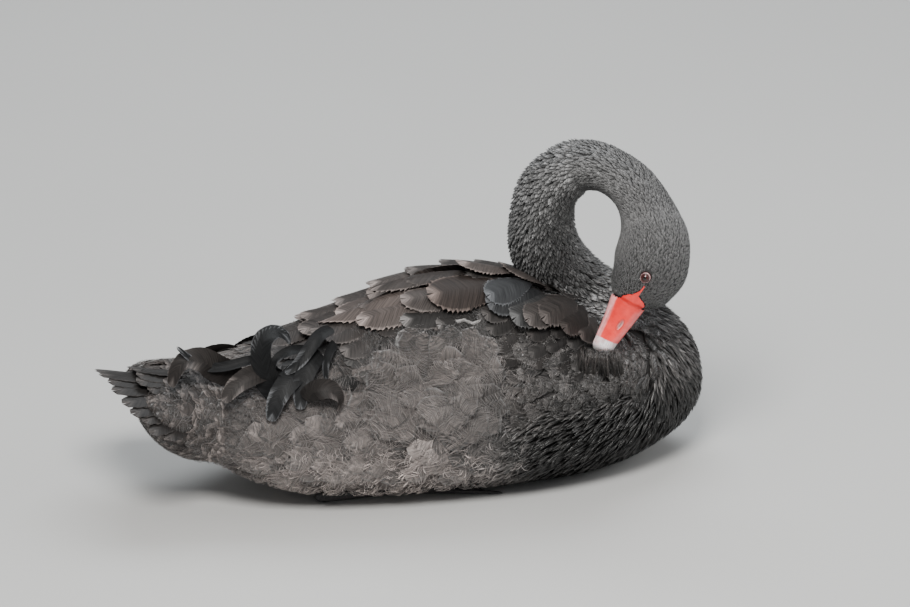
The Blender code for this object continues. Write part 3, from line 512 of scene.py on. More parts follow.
def settle(points):
    """The nearest places of the hide to some points, and the outward directions there."""
    cloud = bpy.data.meshes.new("cloud")
    cloud.vertices.add(len(points))
    cloud.vertices.foreach_set("co", np.asarray(points, np.float32).ravel())
    rider = bpy.data.objects.new("cloud", cloud)
    bpy.context.scene.collection.objects.link(rider)
    wrap = rider.modifiers.new("wrap", "SHRINKWRAP")
    wrap.target = skin
    wrap.wrap_method = "NEAREST_SURFACEPOINT"
    wrap.wrap_mode = "ABOVE_SURFACE"
    found = []
    for offset in (0.0, 0.001):
        wrap.offset = offset
        bpy.context.view_layer.update()
        shrunk = rider.evaluated_get(bpy.context.evaluated_depsgraph_get())
        flat = np.empty(len(points) * 3, np.float32)
        shrunk.data.vertices.foreach_get("co", flat)
        found.append(flat.reshape(-1, 3).astype(float))
    bpy.data.objects.remove(rider)
    bpy.data.meshes.remove(cloud)
    return found[0], unit(found[1] - found[0])


def along_skin(directions, ups):
    """Directions with their part out of the skin taken away."""
    return unit(directions - ups * np.sum(directions * ups, axis=-1, keepdims=True))


def march(roots, lie, length, bend, steps=5):
    """Shafts laid along the hide: from each root, equal steps ahead, turning by bend in all."""
    place, up = settle(roots)
    ahead = along_skin(lie, up)
    turn = np.broadcast_to(np.asarray(bend, float) / steps, len(roots))[:, None]
    spots, aheads, ups = [place], [ahead], [up]
    for _ in range(steps):
        ahead = ahead * np.cos(turn) + np.cross(up, ahead) * np.sin(turn)
        place, up = settle(place + ahead * (length / steps)[:, None])
        ahead = along_skin(ahead, up)
        spots.append(place)
        aheads.append(ahead)
        ups.append(up)
    return (np.stack(table, axis=1) for table in (spots, aheads, ups))


def vane_outline(rows, shape):
    """A vane's half outline against the share u of its rows.

    Barbs leave the shaft at 0.9 u^1.15 and end at u^0.88 along, sin(π u^widest)^blunt across.
    """
    u = np.linspace(0, 1, rows)
    widest, blunt = shape
    across = np.maximum(np.sin(np.pi * u**widest), 0) ** blunt
    return u, 0.90 * u**1.15, u**0.88, np.maximum(across, np.maximum((1 - u) * 0.16, 0.05))


def read_frames(tables, share):
    """Rows of each table at a share of its length from 0 to 1, and straight on beyond its end."""
    steps = tables[0].shape[1] - 1
    i = np.clip(np.floor(share * steps).astype(int), 0, steps - 1)
    t = (share * steps - i)[..., None]
    return [
        np.take_along_axis(table, i[..., None], axis=1) * (1 - t)
        + np.take_along_axis(table, i[..., None] + 1, axis=1) * t
        for table in tables
    ]


def vane_faces(rows, wide):
    """One vane's faces: its grid, and under it two webs from its edges to the row below the shaft."""
    row, column = np.meshgrid(np.arange(rows - 1), np.arange(wide - 1), indexing="ij")
    first = (row * wide + column).reshape(-1)
    upper = np.stack((first, first + wide, first + wide + 1, first + 1), axis=-1)
    rim_row = np.arange(rows - 1)
    left, right, below = rim_row * wide, rim_row * wide + wide - 1, rows * wide + rim_row
    lower = np.concatenate((
        np.stack((left, below, below + 1, left + wide), axis=-1),
        np.stack((right, right + wide, below + 1, below), axis=-1),
    ))
    end = np.arange(wide - 1)
    last = (rows - 1) * wide
    caps = np.concatenate((
        np.stack((end, end + 1, np.full(wide - 1, rows * wide)), axis=-1),
        np.stack((last + end, np.full(wide - 1, rows * wide + rows - 1), last + end + 1), axis=-1),
    ))
    return np.concatenate((upper, lower)), caps


def vane_tones(chance, grey, rim, u, v, along_share, notched, mottling, rim_from, rings, flecks):
    """The greys of vanes' grids, no paler than 0.62: each its own, darker at the root as painted shade and
    pale at the rim.

    Notched rows have a dimmer rim at their edge, and rings and a few pale tips, painted glints of water
    drops, lie over all.
    """
    count = len(grey)
    each = np.clip(chance.normal(1, mottling, (count, 1)), 0.5, 1.7)
    barbs = np.clip(chance.normal(1, 0.04, (count, len(u), 1)), 0.8, 1.2)
    # painted shade: each vane is darker towards its root, where the vanes lying over it would shade it
    shade = 0.66 + 0.34 * ease(0.0, 0.5, along_share)
    from_middle = np.maximum(np.abs(v) * ease(0.3, 0.6, u)[:, None], u[:, None] ** 2)
    edge = ease(rim_from, 1.0, from_middle) * (1 - 0.55 * notched * (np.abs(v) > 0.99))
    light = (1 + (rim - 1) * edge) * (1 + rings * np.sin(19 * from_middle) * ease(0.2, 0.5, from_middle))
    # painted glints: a few vanes get pale tips that stand for water drops catching the light
    pale = (chance.random((count, 1, 1)) < flecks) * (u[:, None] > 0.6) * (np.abs(v) > 0.5)
    return np.minimum((grey[:, None] * each)[..., None] * barbs * shade * light * (1 + 5.0 * pale), 0.62)


def vane(spots, aheads, ups, length, width, rows, columns, shape, seed, on_skin=True, stand=(0.0003, 0.002),
         tilt=0.0, arch=0.0006, curl=0.0, cup=0.0, fray=0.10, notch=0.0, thickness=0.0003, grey=None,
         warmth=None, rim=1.6, rim_from=0.72, rings=0.0, flecks=0.0, mottling=0.10):
    """Many vanes at once, each a closed sheet on a grid of rows along its shaft and columns across.

    A grid point lies at shaft(u) + barb(u)·|v|, its height over the hide is
    stand + arch·(1 - v²) + tilt·v + curl·max(0, 2u - 1)², the outer ends of the barbs are frayed,
    and every other row stops short by a notch, which cuts the edge into points.
    """
    chance = np.random.default_rng(seed)
    count = len(spots)
    length, width, tilt, curl, stand_low, stand_high = (
        np.broadcast_to(np.asarray(value, float), count)[:, None, None]
        for value in (length, width, tilt, curl, stand[0], stand[1])
    )
    u, shaft, along, across = vane_outline(rows, shape)
    v = np.concatenate((-np.asarray(columns[:0:-1]), columns))
    reach = np.broadcast_to(np.abs(v), (count, rows, len(v))).copy()
    short_rows = (np.arange(rows) % 2 == 0)[None, :, None]
    ragged = 1 + fray * chance.uniform(-1, 0.6, (count, rows, 2)) * ease(0.1, 0.4, u)[:, None]
    ragged -= notch * short_rows * chance.uniform(0.3, 1.3, (count, rows, 2)) * ease(0.05, 0.3, u)[:, None]
    reach[..., 0] *= ragged[..., 0]
    reach[..., -1] *= ragged[..., 1]
    a = (shaft[:, None] + (along - shaft)[:, None] * reach**1.15) * length
    b = across[:, None] * reach * np.sign(v) * width / 2
    share = (a / length).reshape(count, -1)
    place, ahead, up = read_frames((spots, aheads, ups), share)
    side = unit(np.cross(up, ahead))
    flat = place + side * b.reshape(count, -1)[..., None]
    if on_skin:
        flat, up = settle(flat.reshape(-1, 3))
        flat, up = flat.reshape(count, -1, 3), up.reshape(count, -1, 3)
    across_share = b / (width / 2)
    along_share = a / length
    height = (
        stand_low + (stand_high - stand_low) * along_share**0.8 + arch * (1 - across_share**2)
        + tilt * across_share + curl * np.maximum(0, 2 * along_share - 1) ** 2 + cup * across_share**2
    )
    up = unit(up)
    top = flat + up * height.reshape(count, -1)[..., None]
    wide = len(v)
    middle = top.reshape(count, rows, wide, 3)[:, :, wide // 2]
    under = middle - up.reshape(count, rows, wide, 3)[:, :, wide // 2] * thickness
    points = np.concatenate((top, under), axis=1)
    per = points.shape[1]
    faces, caps = vane_faces(rows, wide)
    shift = (np.arange(count) * per)[:, None, None]
    quads = (faces[None] + shift).reshape(-1, 4)
    triangles = (caps[None] + shift).reshape(-1, 3)
    if grey is None:
        grey, warmth = plumage_tone(spots[:, 0])
    grey = np.broadcast_to(grey, count)
    warmth = np.broadcast_to(warmth, count)
    rim = np.broadcast_to(np.asarray(rim, float), count)[:, None, None]
    notched = short_rows[0] * (notch > 0)
    tone = vane_tones(chance, grey, rim, u, v, along_share, notched, mottling, rim_from, rings, flecks)
    tone = np.concatenate((tone.reshape(count, -1), tone[:, :, wide // 2] * 0.6), axis=1)
    colours = tinted(tone, np.broadcast_to(warmth[:, None], tone.shape))
    grid_u = np.broadcast_to(u[:, None], (rows, wide)).reshape(-1)
    grid_v = np.broadcast_to(v, (rows, wide)).reshape(-1)
    grid_u = np.concatenate((grid_u, u))
    grid_v = np.concatenate((grid_v, np.zeros(rows)))
    home = unwrapped(spots[:, 0])[:, None]
    patch = np.stack((grid_v * PATCH_SIZE / 2, (grid_u - 0.5) * PATCH_SIZE), axis=1)
    offsets = chance.uniform(0, 40, (count, 1))
    maps = np.stack((np.broadcast_to(grid_v * 0.5, (count, per)) + offsets, grid_u + offsets), axis=-1)
    return [points.reshape(-1, 3), quads, triangles, colours.reshape(-1, 3),
            (home + patch[None]).reshape(-1, 2), maps.reshape(-1, 2)]


def hairs(lines, ups, thick, tones, warmth, seed, fade=(0.8, 1.25)):
    """Many fine barbs at once, each a closed three-sided spike carried along its own line.

    Two corners stand half of thick·(1 - 0.8t) to the sides of the line and one above it.
    """
    chance = np.random.default_rng(seed)
    count, rows = lines.shape[:2]
    ahead = unit(np.gradient(lines, axis=1))
    side = unit(np.cross(ups, ahead))
    t = np.linspace(0, 1, rows)[:, None]
    half = np.broadcast_to(thick, count)[:, None, None] * (1 - 0.8 * t) / 2
    rings = np.stack((lines - side * half, lines + side * half, lines + ups * half), axis=2)
    row, corner = np.meshgrid(np.arange(rows - 1) * 3, np.arange(3), indexing="ij")
    a, b = (row + corner).reshape(-1), (row + (corner + 1) % 3).reshape(-1)
    walls = np.stack((a, b, b + 3, a + 3), axis=-1)
    last = rows * 3 - 3
    caps = np.array(((0, 2, 1), (last, last + 1, last + 2)))
    shift = (np.arange(count) * rows * 3)[:, None, None]
    tone = (tones[:, None] * np.linspace(*fade, rows))[..., None]
    tone = np.broadcast_to(tone, (count, rows, 3)).reshape(count, -1)
    colours = tinted(tone, np.broadcast_to(np.asarray(warmth)[:, None], tone.shape))
    home = unwrapped(lines[:, 0])[:, None]
    patch = np.stack(np.broadcast_arrays(np.arange(3) * 0.0005, (t - 0.5) * PATCH_SIZE), axis=-1)
    maps = np.broadcast_to(chance.uniform(0, 40, (count, 1, 1)), (count, rows * 3, 2))
    return [rings.reshape(-1, 3), (walls[None] + shift).reshape(-1, 4), (caps[None] + shift).reshape(-1, 3),
            colours.reshape(-1, 3), (home + patch.reshape(1, -1, 2)).reshape(-1, 2), maps.reshape(-1, 2)]


def together(parts):
    """Several sets of arrays as one, the faces of each counted on past the points before it."""
    firsts = np.cumsum([0] + [len(part[0]) for part in parts[:-1]])
    joined = [np.concatenate([part[k] for part in parts]) for k in (0, 3, 4, 5)]
    quads = np.concatenate([part[1] + first for part, first in zip(parts, firsts)])
    triangles = np.concatenate([part[2] + first for part, first in zip(parts, firsts)])
    return [joined[0], quads, triangles, joined[1], joined[2], joined[3]]


def grown(roots, lie, length, width, bend=0.0, **looks):
    """Vanes that lie on the hide, rooted at some points of it."""
    length = np.broadcast_to(np.asarray(length, float), len(roots))
    spots, aheads, ups = march(roots, lie, length, bend)
    return vane(spots, aheads, ups, length, width, **looks)


def curled(paths, widths, seed, **looks):
    """Vanes along smooth curves, each through rows of a place and the way its face looks there."""
    chance = np.random.default_rng(seed)
    parts = []
    for path, width in zip(paths, widths):
        places, faces = np.split(np.array(path, float), 2, axis=1)
        chords = np.concatenate(((0,), np.cumsum(np.linalg.norm(np.diff(places, axis=0), axis=1))))
        at = np.linspace(0, chords[-1], 16)
        spots = through(chords, places, at)
        ahead = unit(np.gradient(spots, axis=0))
        up = along_skin(unit(through(chords, faces, at)), ahead)
        shaft = (spots[None], ahead[None], up[None])
        own_seed = int(chance.integers(1e6))
        parts.append(vane(*shaft, chords[-1], width, seed=own_seed, on_skin=False, **looks))
    return together(parts)


def coat_piece(name, parts, look, replaces=(), crisp=False):
    """One piece of plumage from its arrays, kept off the floor, with its colour and its two maps."""
    points, quads, triangles, colours, coat_map, vane_map = together(parts)
    points[:, 2] = np.maximum(points[:, 2], FLOOR_CLEARANCE)
    thing = woven(name, points, quads, triangles)
    wear_colour(thing, colours)
    wear_map(thing, "OFBake", coat_map)
    wear_map(thing, "vane", vane_map)
    thing.data.materials.append(look)
    if crisp:
        thing.data.set_sharp_from_angle(angle=np.radians(60))
    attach(thing, "root")
    if replaces:
        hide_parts(*replaces)


def quincunx(first, last, pitch, spacing, radius, seed):
    """Staggered rows round the neck: rows a pitch apart from first to last, roots a spacing apart."""
    chance = np.random.default_rng(seed)
    rows = int((last - first) / pitch)
    across = int(2 * np.pi * radius / spacing)
    row, column = np.meshgrid(np.arange(rows), np.arange(across), indexing="ij")
    at = first + (row + chance.uniform(-0.38, 0.38, row.shape)) * pitch
    turn = (column + 0.5 * (row % 2) + chance.uniform(-0.36, 0.36, row.shape)) * 2 * np.pi / across
    return at.ravel(), turn.ravel()


def on_the_outside(points, most):
    """Which points lie no further than a distance from the hide: the others are inside the body."""
    place, _ = settle(points)
    return np.linalg.norm(place - points, axis=1) < most


def bare_end(turn):
    """How far behind the bill's root the feathers start, at an angle from the crown.

    The named ends are in millimetres, furthest back at the eye, and two sines of the angle scallop them.
    """
    degrees = np.degrees(np.abs((turn + np.pi) % (2 * np.pi) - np.pi))
    scallops = 0.0005 * np.sin(degrees * 0.55) * (degrees > 76)
    scallops += 0.0003 * np.sin(degrees * 0.9) * (degrees < 58)
    return np.interp(degrees, BARE_TURNS, np.array(BARE_ENDS) / 1000) + scallops


def neck_tufts(first, last, pitch, spacing, length, width, seed, **looks):
    """Tufts in staggered rows between two distances along the neck, lying along its axis."""
    at, turn = quincunx(first, last, pitch, spacing, NECK_RADIUS, seed)
    roots = neck_surface(at, turn)
    lie = neck_surface(at + 0.003, turn) - roots
    keep = on_the_outside(roots, MOST_INSIDE)
    for middle in eye_middles.values():
        keep &= np.linalg.norm(roots - middle, axis=1) > CLEAR_OF_EYE
    keep &= at > bare_end(turn) + 0.0004
    roots, lie = roots[keep], lie[keep]
    chance = np.random.default_rng(seed + 1)
    lie = unit(lie) + chance.normal(0, 0.10, lie.shape)
    size = chance.uniform(0.85, 1.15, len(roots))
    return grown(roots, lie, length * size, width * size, seed=seed + 2, **looks)


head_plumes = plume_finish("head_plumes", roughness=0.5, barbs=5.0, relief=0.3, sheen=0.25)
neck_plumes = plume_finish("neck_plumes", roughness=0.42, barbs=6.0, relief=0.4, sheen=0.15, gloss=0.5)
fine = dict(rows=3, columns=(0.0, 1.0), shape=(0.9, 0.8), thickness=0.0002, fray=0.0, rim=1.5, rim_from=0.5)
coat_piece("head_feathers", [
    neck_tufts(first=0.0012, last=HEAD_END, pitch=0.0017, spacing=0.0022, length=0.0045, width=0.0021,
               seed=31, stand=(-0.0004, 0.0009), arch=0.0003, mottling=0.20, flecks=0.004, **fine),
], head_plumes)
coat_piece("neck_feathers_smooth", [
    neck_tufts(first=HEAD_END - 0.004, last=HEAD_END + 0.035, pitch=0.0021, spacing=0.0026, length=0.0056,
               width=0.0025, seed=34, stand=(-0.0004, 0.0010), arch=0.0004, mottling=0.24, **fine),
    neck_tufts(first=HEAD_END + 0.030, last=HEAD_END + 0.072, pitch=0.0025, spacing=0.0031, length=0.0072,
               width=0.0031, seed=35, stand=(-0.0004, 0.0014), arch=0.0005, mottling=0.28, flecks=0.006,
               **fine),
    neck_tufts(first=HEAD_END + 0.067, last=NECK_RUFFLED_FROM, pitch=0.0030, spacing=0.0038, length=0.0088,
               width=0.0040, seed=36, stand=(-0.0004, 0.0020), arch=0.0006, mottling=0.32, flecks=0.01,
               **fine),
], neck_plumes)
ruffled = dict(rows=4, columns=(0.0, 1.0), shape=(1.1, 0.7), thickness=0.0003, stand=(-0.0004, 0.0032),
               fray=0.1, rim=3.2, rim_from=0.55, mottling=0.36, flecks=0.02)
coat_piece("neck_feathers_ruffled", [
    neck_tufts(first=NECK_RUFFLED_FROM - 0.004, last=neck_chords[11], pitch=0.0036, spacing=0.0046,
               length=0.0105, width=0.0050, seed=37, arch=0.0007, curl=0.0010, **ruffled),
    neck_tufts(first=neck_chords[11] - 0.004, last=neck_chords[13], pitch=0.0044, spacing=0.0056,
               length=0.0140, width=0.0066, seed=41, arch=0.0008, curl=0.0008, **ruffled),
], neck_plumes)

# Coat of the body.
# Contour feathers over breast and belly, softer and longer plumes on the flanks, and curly down by the water.
# Each is rooted in the hide, roots spread evenly, and lies back and down as the bird's do.
LEG_OUT = 0.052
LEG_HALF_WIDTH = 0.022
LEG_BACK_X = -0.13
LEG_FRONT_X = 0.08
SCAPULAR_LOW_ANGLES = (35, 50)
FLANK_FRONT_X = 0.085
BELLY_TOP = 0.014
BILL_TIP = np.array((0.1727, -0.099, 0.1574))
PARTED_HAIRS = 150


def scattered(spacing, seed, wanted):
    """Roots spread over the hide: one of its vertices from each cell of a grid, where wanted is true."""
    chance = np.random.default_rng(seed)
    order = chance.permutation(np.flatnonzero(wanted(skin_points)))
    cells = np.floor((skin_points[order] + chance.uniform(0, spacing, 3)) / spacing).astype(int)
    _, first = np.unique(cells, axis=0, return_index=True)
    return skin_points[order[np.sort(first)]]


def body_lie(points):
    """The lie of the body's feathers: straight back, down at the breast, out from the spine at the top.

    The flank's swing up over the wing's lower edge, and all of them waver by two slow sines of place.
    Near the neck they turn into the neck's own heading, by the smooth step of the distance in radii.
    """
    x, y, z = points.T
    down = 0.16 + 0.95 * ease(0.18, 0.29, x)
    down -= 0.50 * ease(0.085, 0.13, z) * (1 - ease(0.04, 0.12, x)) * ease(0.03, 0.07, np.abs(y))
    down += 0.22 * np.sin(47 * x + 1.0) * np.sin(38 * z + 0.6) * (1 - ease(0.08, 0.16, x))
    down *= ease(0.0, 0.05, z)
    aside = 0.25 * np.sign(y) * ease(0.0, 0.02, np.abs(y)) * ease(0.12, 0.18, z)
    lie = unit(np.stack((np.full(len(points), -1.0), aside, -down), axis=1))
    at, radii = near_neck(points)
    share = (1 - ease(1.0, 1.6, radii)) * (1 - ease(0.10, 0.06, z))
    return lie + (along_neck(neck_heading, at) - lie) * share[:, None]


def on_body(points):
    """True off the neck and clear of the legs."""
    at, radii = near_neck(points)
    off_neck = (radii > 1.20) | (at > neck_chords[13] - 0.016)
    x, y, z = points.T
    leg = (z < 0.02) & (np.abs(np.abs(y) - LEG_OUT) < LEG_HALF_WIDTH) & (x > LEG_BACK_X) & (x < LEG_FRONT_X)
    return off_neck & ~leg


def under_wing(points, margin=0.0):
    """True where the folded wing's own feathers cover the body: less of it on the preened right side."""
    x, y, z = points.T
    angle = np.degrees(np.arctan2(np.abs(y), z - WING_CORE_HEIGHT))
    lowest = np.where(y < 0, *SCAPULAR_LOW_ANGLES) - margin
    return (x > WING_BACK_X + 0.02) & (x < WING_FRONT_X - 0.01) & (angle < lowest)


def body_feathers(spacing, seed, wanted, length, width, scatter=0.15, **looks):
    """Contour feathers with their roots a spacing apart over a wanted part of the body."""
    roots = scattered(spacing, seed, lambda points: on_body(points) & wanted(points))
    chance = np.random.default_rng(seed + 1)
    lie = unit(body_lie(roots)) + chance.normal(0, scatter, roots.shape)
    size = chance.uniform(0.85, 1.15, len(roots))
    bend = chance.normal(0, scatter, len(roots))
    tilt = chance.normal(0, 0.0008, len(roots))
    return grown(roots, lie, length * size, width * size, bend, seed=seed + 2, tilt=tilt, **looks)


def barb_lines(spots, aheads, ups, width, per_side, seed, sweep, stand, lift, knots=4):
    """The loose barbs of plumes, each from the shaft at a share s of its length.

    A barb runs on by sweep·(1 - s)·t^1.2 of the length and out by t^0.85 of the half width, and stands
    with the shaft, stand·s^0.8, and up to lift·t over it.
    """
    chance = np.random.default_rng(seed)
    count, t = len(spots), np.linspace(0, 1, knots)
    s = np.tile(np.linspace(0.08, 0.97, per_side), 2) + chance.uniform(-0.03, 0.03, (count, 2 * per_side))
    s = np.clip(s, 0, 1)
    way = np.repeat((-1.0, 1.0), per_side)
    reach = chance.uniform(0.75, 1.2, s.shape)[..., None]
    a = s[..., None] + (1.06 - s[..., None]) * sweep * reach * t**1.2
    a = a + chance.normal(0, 0.03, s.shape)[..., None] * t
    half = np.sin(np.pi * (0.14 + 0.74 * s)) ** 0.7 * way * width[:, None] / 2
    b = half[..., None] * reach * t**0.85
    place, ahead, up = read_frames((spots, aheads, ups), a.reshape(count, -1))
    flat = place + unit(np.cross(up, ahead)) * b.reshape(count, -1)[..., None]
    flat, up = settle(flat.reshape(-1, 3))
    height = 0.0006 + stand * np.clip(a, 0, 1.1) ** 0.8
    height = height + lift * chance.uniform(-0.1, 1.0, s.shape)[..., None] * t
    lines = flat + up * height.reshape(-1, 1)
    return lines.reshape(-1, knots, 3), up.reshape(-1, knots, 3)


def plumed(spots, aheads, ups, length, width, per_side, seed, thick=0.0007, stand=0.0052, sweep=0.62,
           lift=0.0018, pale=1.15, knots=4, vary=0.34, fade=(0.55, 1.55)):
    """Soft plumes on given shafts: each a dim thin vane under paler loose barbs that fan from its shaft."""
    chance = np.random.default_rng(seed)
    each = np.clip(chance.normal(1, vary, len(spots)), 0.5, 1.4)
    grey, warmth = plumage_tone(spots[:, 0])
    sheet = vane(spots, aheads, ups, length, width * 0.9, seed=seed + 1, stand=(-0.001, stand - 0.0010),
                 grey=grey * each * 0.62, warmth=warmth, rows=7, columns=(0.0, 0.55, 1.0), shape=(1.15, 0.6),
                 arch=0.0016, rim=1.5, rim_from=0.55, fray=0.25, mottling=0.22)
    lines, ups = barb_lines(spots, aheads, ups, width, per_side, seed + 2, sweep, stand, lift, knots)
    grey, warmth = plumage_tone(lines[:, 0])
    tones = grey * np.repeat(each, 2 * per_side) * np.clip(chance.normal(pale, 0.24, len(grey)), 0.4, 2.2)
    thick = thick * chance.uniform(0.6, 1.3, len(lines))
    return together([sheet, hairs(lines, ups, thick, tones, warmth, seed + 3, fade)])


def loose_plumes(spacing, seed, wanted, length, width, per_side, scatter, **looks):
    """Soft plumes with their roots a spacing apart over a wanted part of the body."""
    roots = scattered(spacing, seed, lambda points: on_body(points) & wanted(points))
    chance = np.random.default_rng(seed + 1)
    size = chance.uniform(0.75, 1.2, len(roots))
    lie = unit(body_lie(roots)) + chance.normal(0, scatter, roots.shape)
    shafts = march(roots, lie, length * size, chance.normal(0, 0.5, len(roots)))
    return plumed(*shafts, length * size, width * size, per_side, seed + 2, **looks)


def fanned_plumes(fans, per_side, seed, **looks):
    """Soft plumes spread like fingers from a few places of the right flank.

    A fan is x and angle of its place, its first and last heading, which turn from the breast towards the
    belly, a count, then length, width and distance of the roots from the place.
    """
    chance = np.random.default_rng(seed)
    rows = []
    for x, angle, first, last, count, length, width, start in fans:
        turn = np.radians(-angle)
        heading = np.radians(np.linspace(first, last, count) + chance.uniform(-6, 6, count))[:, None]
        here = body_surface(x, turn)
        way = unit(body_surface(x + 0.001, turn) - here) * np.cos(heading)
        way = way + unit(body_surface(x, turn + 0.01) - here) * np.sin(heading)
        size = chance.uniform(0.85, 1.12, (count, 1))
        rows.append(np.concatenate((here + way * start, way, length * size, width * size), axis=1))
    rows = np.concatenate(rows)
    shafts = march(rows[:, :3], rows[:, 3:6], rows[:, 6], chance.normal(0, 0.35, len(rows)))
    return plumed(*shafts, rows[:, 6], rows[:, 7], per_side, seed + 1, **looks)


def curly_down(spacing, seed, wanted, length, thick, per_tuft=6):
    """Tufts of short barbs that curl together, marched side by side over the hide.

    All the barbs of a tuft turn one way, by 1.2 to 3 radians, and arch up to 7 mm off it and back.
    """
    roots = scattered(spacing, seed, lambda points: on_body(points) & wanted(points))
    chance = np.random.default_rng(seed + 1)
    count = len(roots)
    lie = unit(body_lie(roots)) + chance.normal(0, 0.8, roots.shape)
    bend = chance.uniform(1.2, 3.0, count) * np.where(chance.random(count) < 0.5, -1, 1)
    size = length * chance.uniform(0.7, 1.3, count)
    tone = np.clip(chance.normal(1.1, 0.38, count), 0.4, 2.0)
    roots, lie, bend, size, tone = (
        np.repeat(table, per_tuft, axis=0) for table in (roots, lie, bend, size, tone)
    )
    many = len(roots)
    roots = roots + chance.normal(0, spacing * 0.22, roots.shape)
    lie = lie + chance.normal(0, 0.15, lie.shape)
    size = size * chance.uniform(0.7, 1.1, many)
    spots, _, ups = march(roots, lie, size, bend + chance.normal(0, 0.25, many), steps=4)
    height = 0.0022 + np.array((0.0, 0.0014, 0.0028, 0.0026, 0.0014)) * chance.uniform(0, 1.6, (many, 1))
    grey, warmth = plumage_tone(roots)
    tones = grey * tone * np.clip(chance.normal(1.2, 0.40, many), 0.35, 2.4)
    thick = thick * chance.uniform(0.7, 1.3, many)
    return hairs(spots + ups * height[..., None], ups, thick, tones, warmth, seed + 2, fade=(0.5, 1.5))


def is_breast(points):
    """The breast, its border with the flank wavering by 12 mm."""
    x, y, z = points.T
    return (x > 0.060 + 0.012 * np.sin(90 * z)) & ~under_wing(points) & (z > 0.012)


def is_upper_breast(points):
    """The dry part of the breast, over 105 mm up and behind its front."""
    return is_breast(points) & (points[:, 2] > 0.105) & (points[:, 0] < 0.235)


def is_wet_breast(points):
    """The rest of the breast, whose feathers cling together in points."""
    return is_breast(points) & ~is_upper_breast(points)


def is_flank(points, side):
    """The side from 58 mm up to the wing, of the bird's right where side is -1 and of its left where 1."""
    x, y, z = points.T
    return (x <= FLANK_FRONT_X) & (z > 0.058) & ~under_wing(points, 1) & ((y < 0) == (side < 0))


def is_waterline(points):
    """The band between the belly and the flanks, which it overlaps."""
    x, y, z = points.T
    return (x <= FLANK_FRONT_X) & (z <= 0.085) & (z > BELLY_TOP)


def is_belly(points):
    """What lies under water on a swimming bird."""
    return points[:, 2] <= BELLY_TOP


def parted_hairs():
    """The feathers that the bill parts, as hairs up over its tip, as the photograph's side sees them.

    Each runs from the breast below the tip to a place round the tip, by way of a point half way
    between them that stands 4.5 mm nearer.
    """
    right = np.array((0.966, -0.259, 0.0))
    up = np.array((0.105, 0.393, 0.914))
    near = np.array((-0.236, -0.882, 0.407))
    chance = np.random.default_rng(53)
    column = (PARTED_HAIRS, 1)
    across = chance.uniform(-0.018, 0.022, column)
    below = chance.uniform(0.012, 0.030, column)
    roots, _ = settle(BILL_TIP + right * (across * 1.7 + 0.004) - up * below)
    tips = BILL_TIP + right * (across - chance.uniform(0.000, 0.012, column))
    tips = tips + (up * chance.uniform(-0.004, 0.0060, column) + near * chance.uniform(0.009, 0.014, column))
    lines = np.stack((roots, (roots + tips) / 2 + near * 0.0045, tips), axis=1)
    tones = 0.036 * chance.uniform(0.4, 1.8, PARTED_HAIRS)
    warmth = np.full(PARTED_HAIRS, 0.5)
    return hairs(lines, np.broadcast_to(near, lines.shape), 0.0010, tones, warmth, 54, fade=(0.6, 1.5))


breast_plumes = plume_finish("breast_plumes", roughness=0.32, barbs=7.0, relief=0.5, gloss=0.6)
flank_plumes = plume_finish("flank_plumes", roughness=0.7, barbs=16.0, relief=0.6, sheen=0.3)
coat_piece("breast_feathers", [
    body_feathers(spacing=0.0047, seed=51, wanted=is_wet_breast, length=0.0240, width=0.0040, scatter=0.16,
                  rows=4, columns=(0.0, 1.0), shape=(0.75, 0.9), stand=(-0.001, 0.0046), arch=0.0008,
                  curl=0.0012, thickness=0.0005, rim=1.7, rim_from=0.7, mottling=0.50, fray=0.15,
                  flecks=0.010),
    parted_hairs(),
], breast_plumes)
coat_piece("upper_breast_feathers", [
    loose_plumes(spacing=0.0096, seed=55, wanted=is_upper_breast, length=0.0240, width=0.0140, per_side=8,
                 scatter=0.26, stand=0.0042, lift=0.0012, thick=0.0009, knots=3),
], breast_plumes)
fans = (
    (-0.030, 56, 225, 55, 11, 0.052, 0.036, 0.004),
    (0.012, 56, 125, -15, 9, 0.046, 0.034, 0.003),
    (0.012, 70, 350, 200, 10, 0.048, 0.034, 0.003),
    (-0.036, 64, 140, 250, 7, 0.050, 0.034, 0.002),
)
inner_fans = (
    (-0.022, 60, 210, 40, 8, 0.034, 0.026, 0.001),
    (0.010, 62, 100, -60, 7, 0.030, 0.024, 0.001),
    (0.000, 68, 300, 190, 6, 0.034, 0.024, 0.001),
)
flank = dict(length=0.0480, width=0.0340, per_side=12, scatter=0.22)
fanned = dict(lift=0.0008, sweep=0.40, vary=0.14, fade=(0.5, 1.9))
coat_piece("flank_feathers_right", [
    loose_plumes(spacing=0.0170, seed=61, wanted=lambda points: is_flank(points, -1), **flank),
], flank_plumes)
coat_piece("flank_fans_right", [
    fanned_plumes(fans, per_side=24, seed=63, stand=0.0095, pale=1.2, **fanned),
    fanned_plumes(inner_fans, per_side=20, seed=65, stand=0.0115, pale=1.3, **fanned),
], flank_plumes)
coat_piece("flank_feathers_left", [
    loose_plumes(spacing=0.0165, seed=67, wanted=lambda points: is_flank(points, 1), knots=3, **flank),
], flank_plumes)
coat_piece("waterline_down", [
    curly_down(spacing=0.0092, seed=75, wanted=is_waterline, length=0.0140, thick=0.0011),
], flank_plumes)
coat_piece("belly_feathers", [
    body_feathers(spacing=0.0085, seed=81, wanted=is_belly, length=0.0240, width=0.0120, scatter=0.12, rows=4,
                  columns=(0.0, 1.0), shape=(1.2, 0.7), stand=(-0.0005, 0.0030), arch=0.0008, rim=1.3,
                  mottling=0.15),
], flank_plumes)

# Folded wings.
# Each lies over the body's side: flight feathers low and behind, tiers of coverts above, scapulars on top.
# Vanes are webs on a thin shaft; each is rooted in the wing and lies over the root of the next one behind.
SKIN_PER_RADIAN = 0.105
TIER_NOISES = (0.0035, 1.0, 0.006, 0.003, 4.0, 0.0006, 0.008, 0.10, 0.5, 0.002)
FRINGE_FROM_ROW = 4


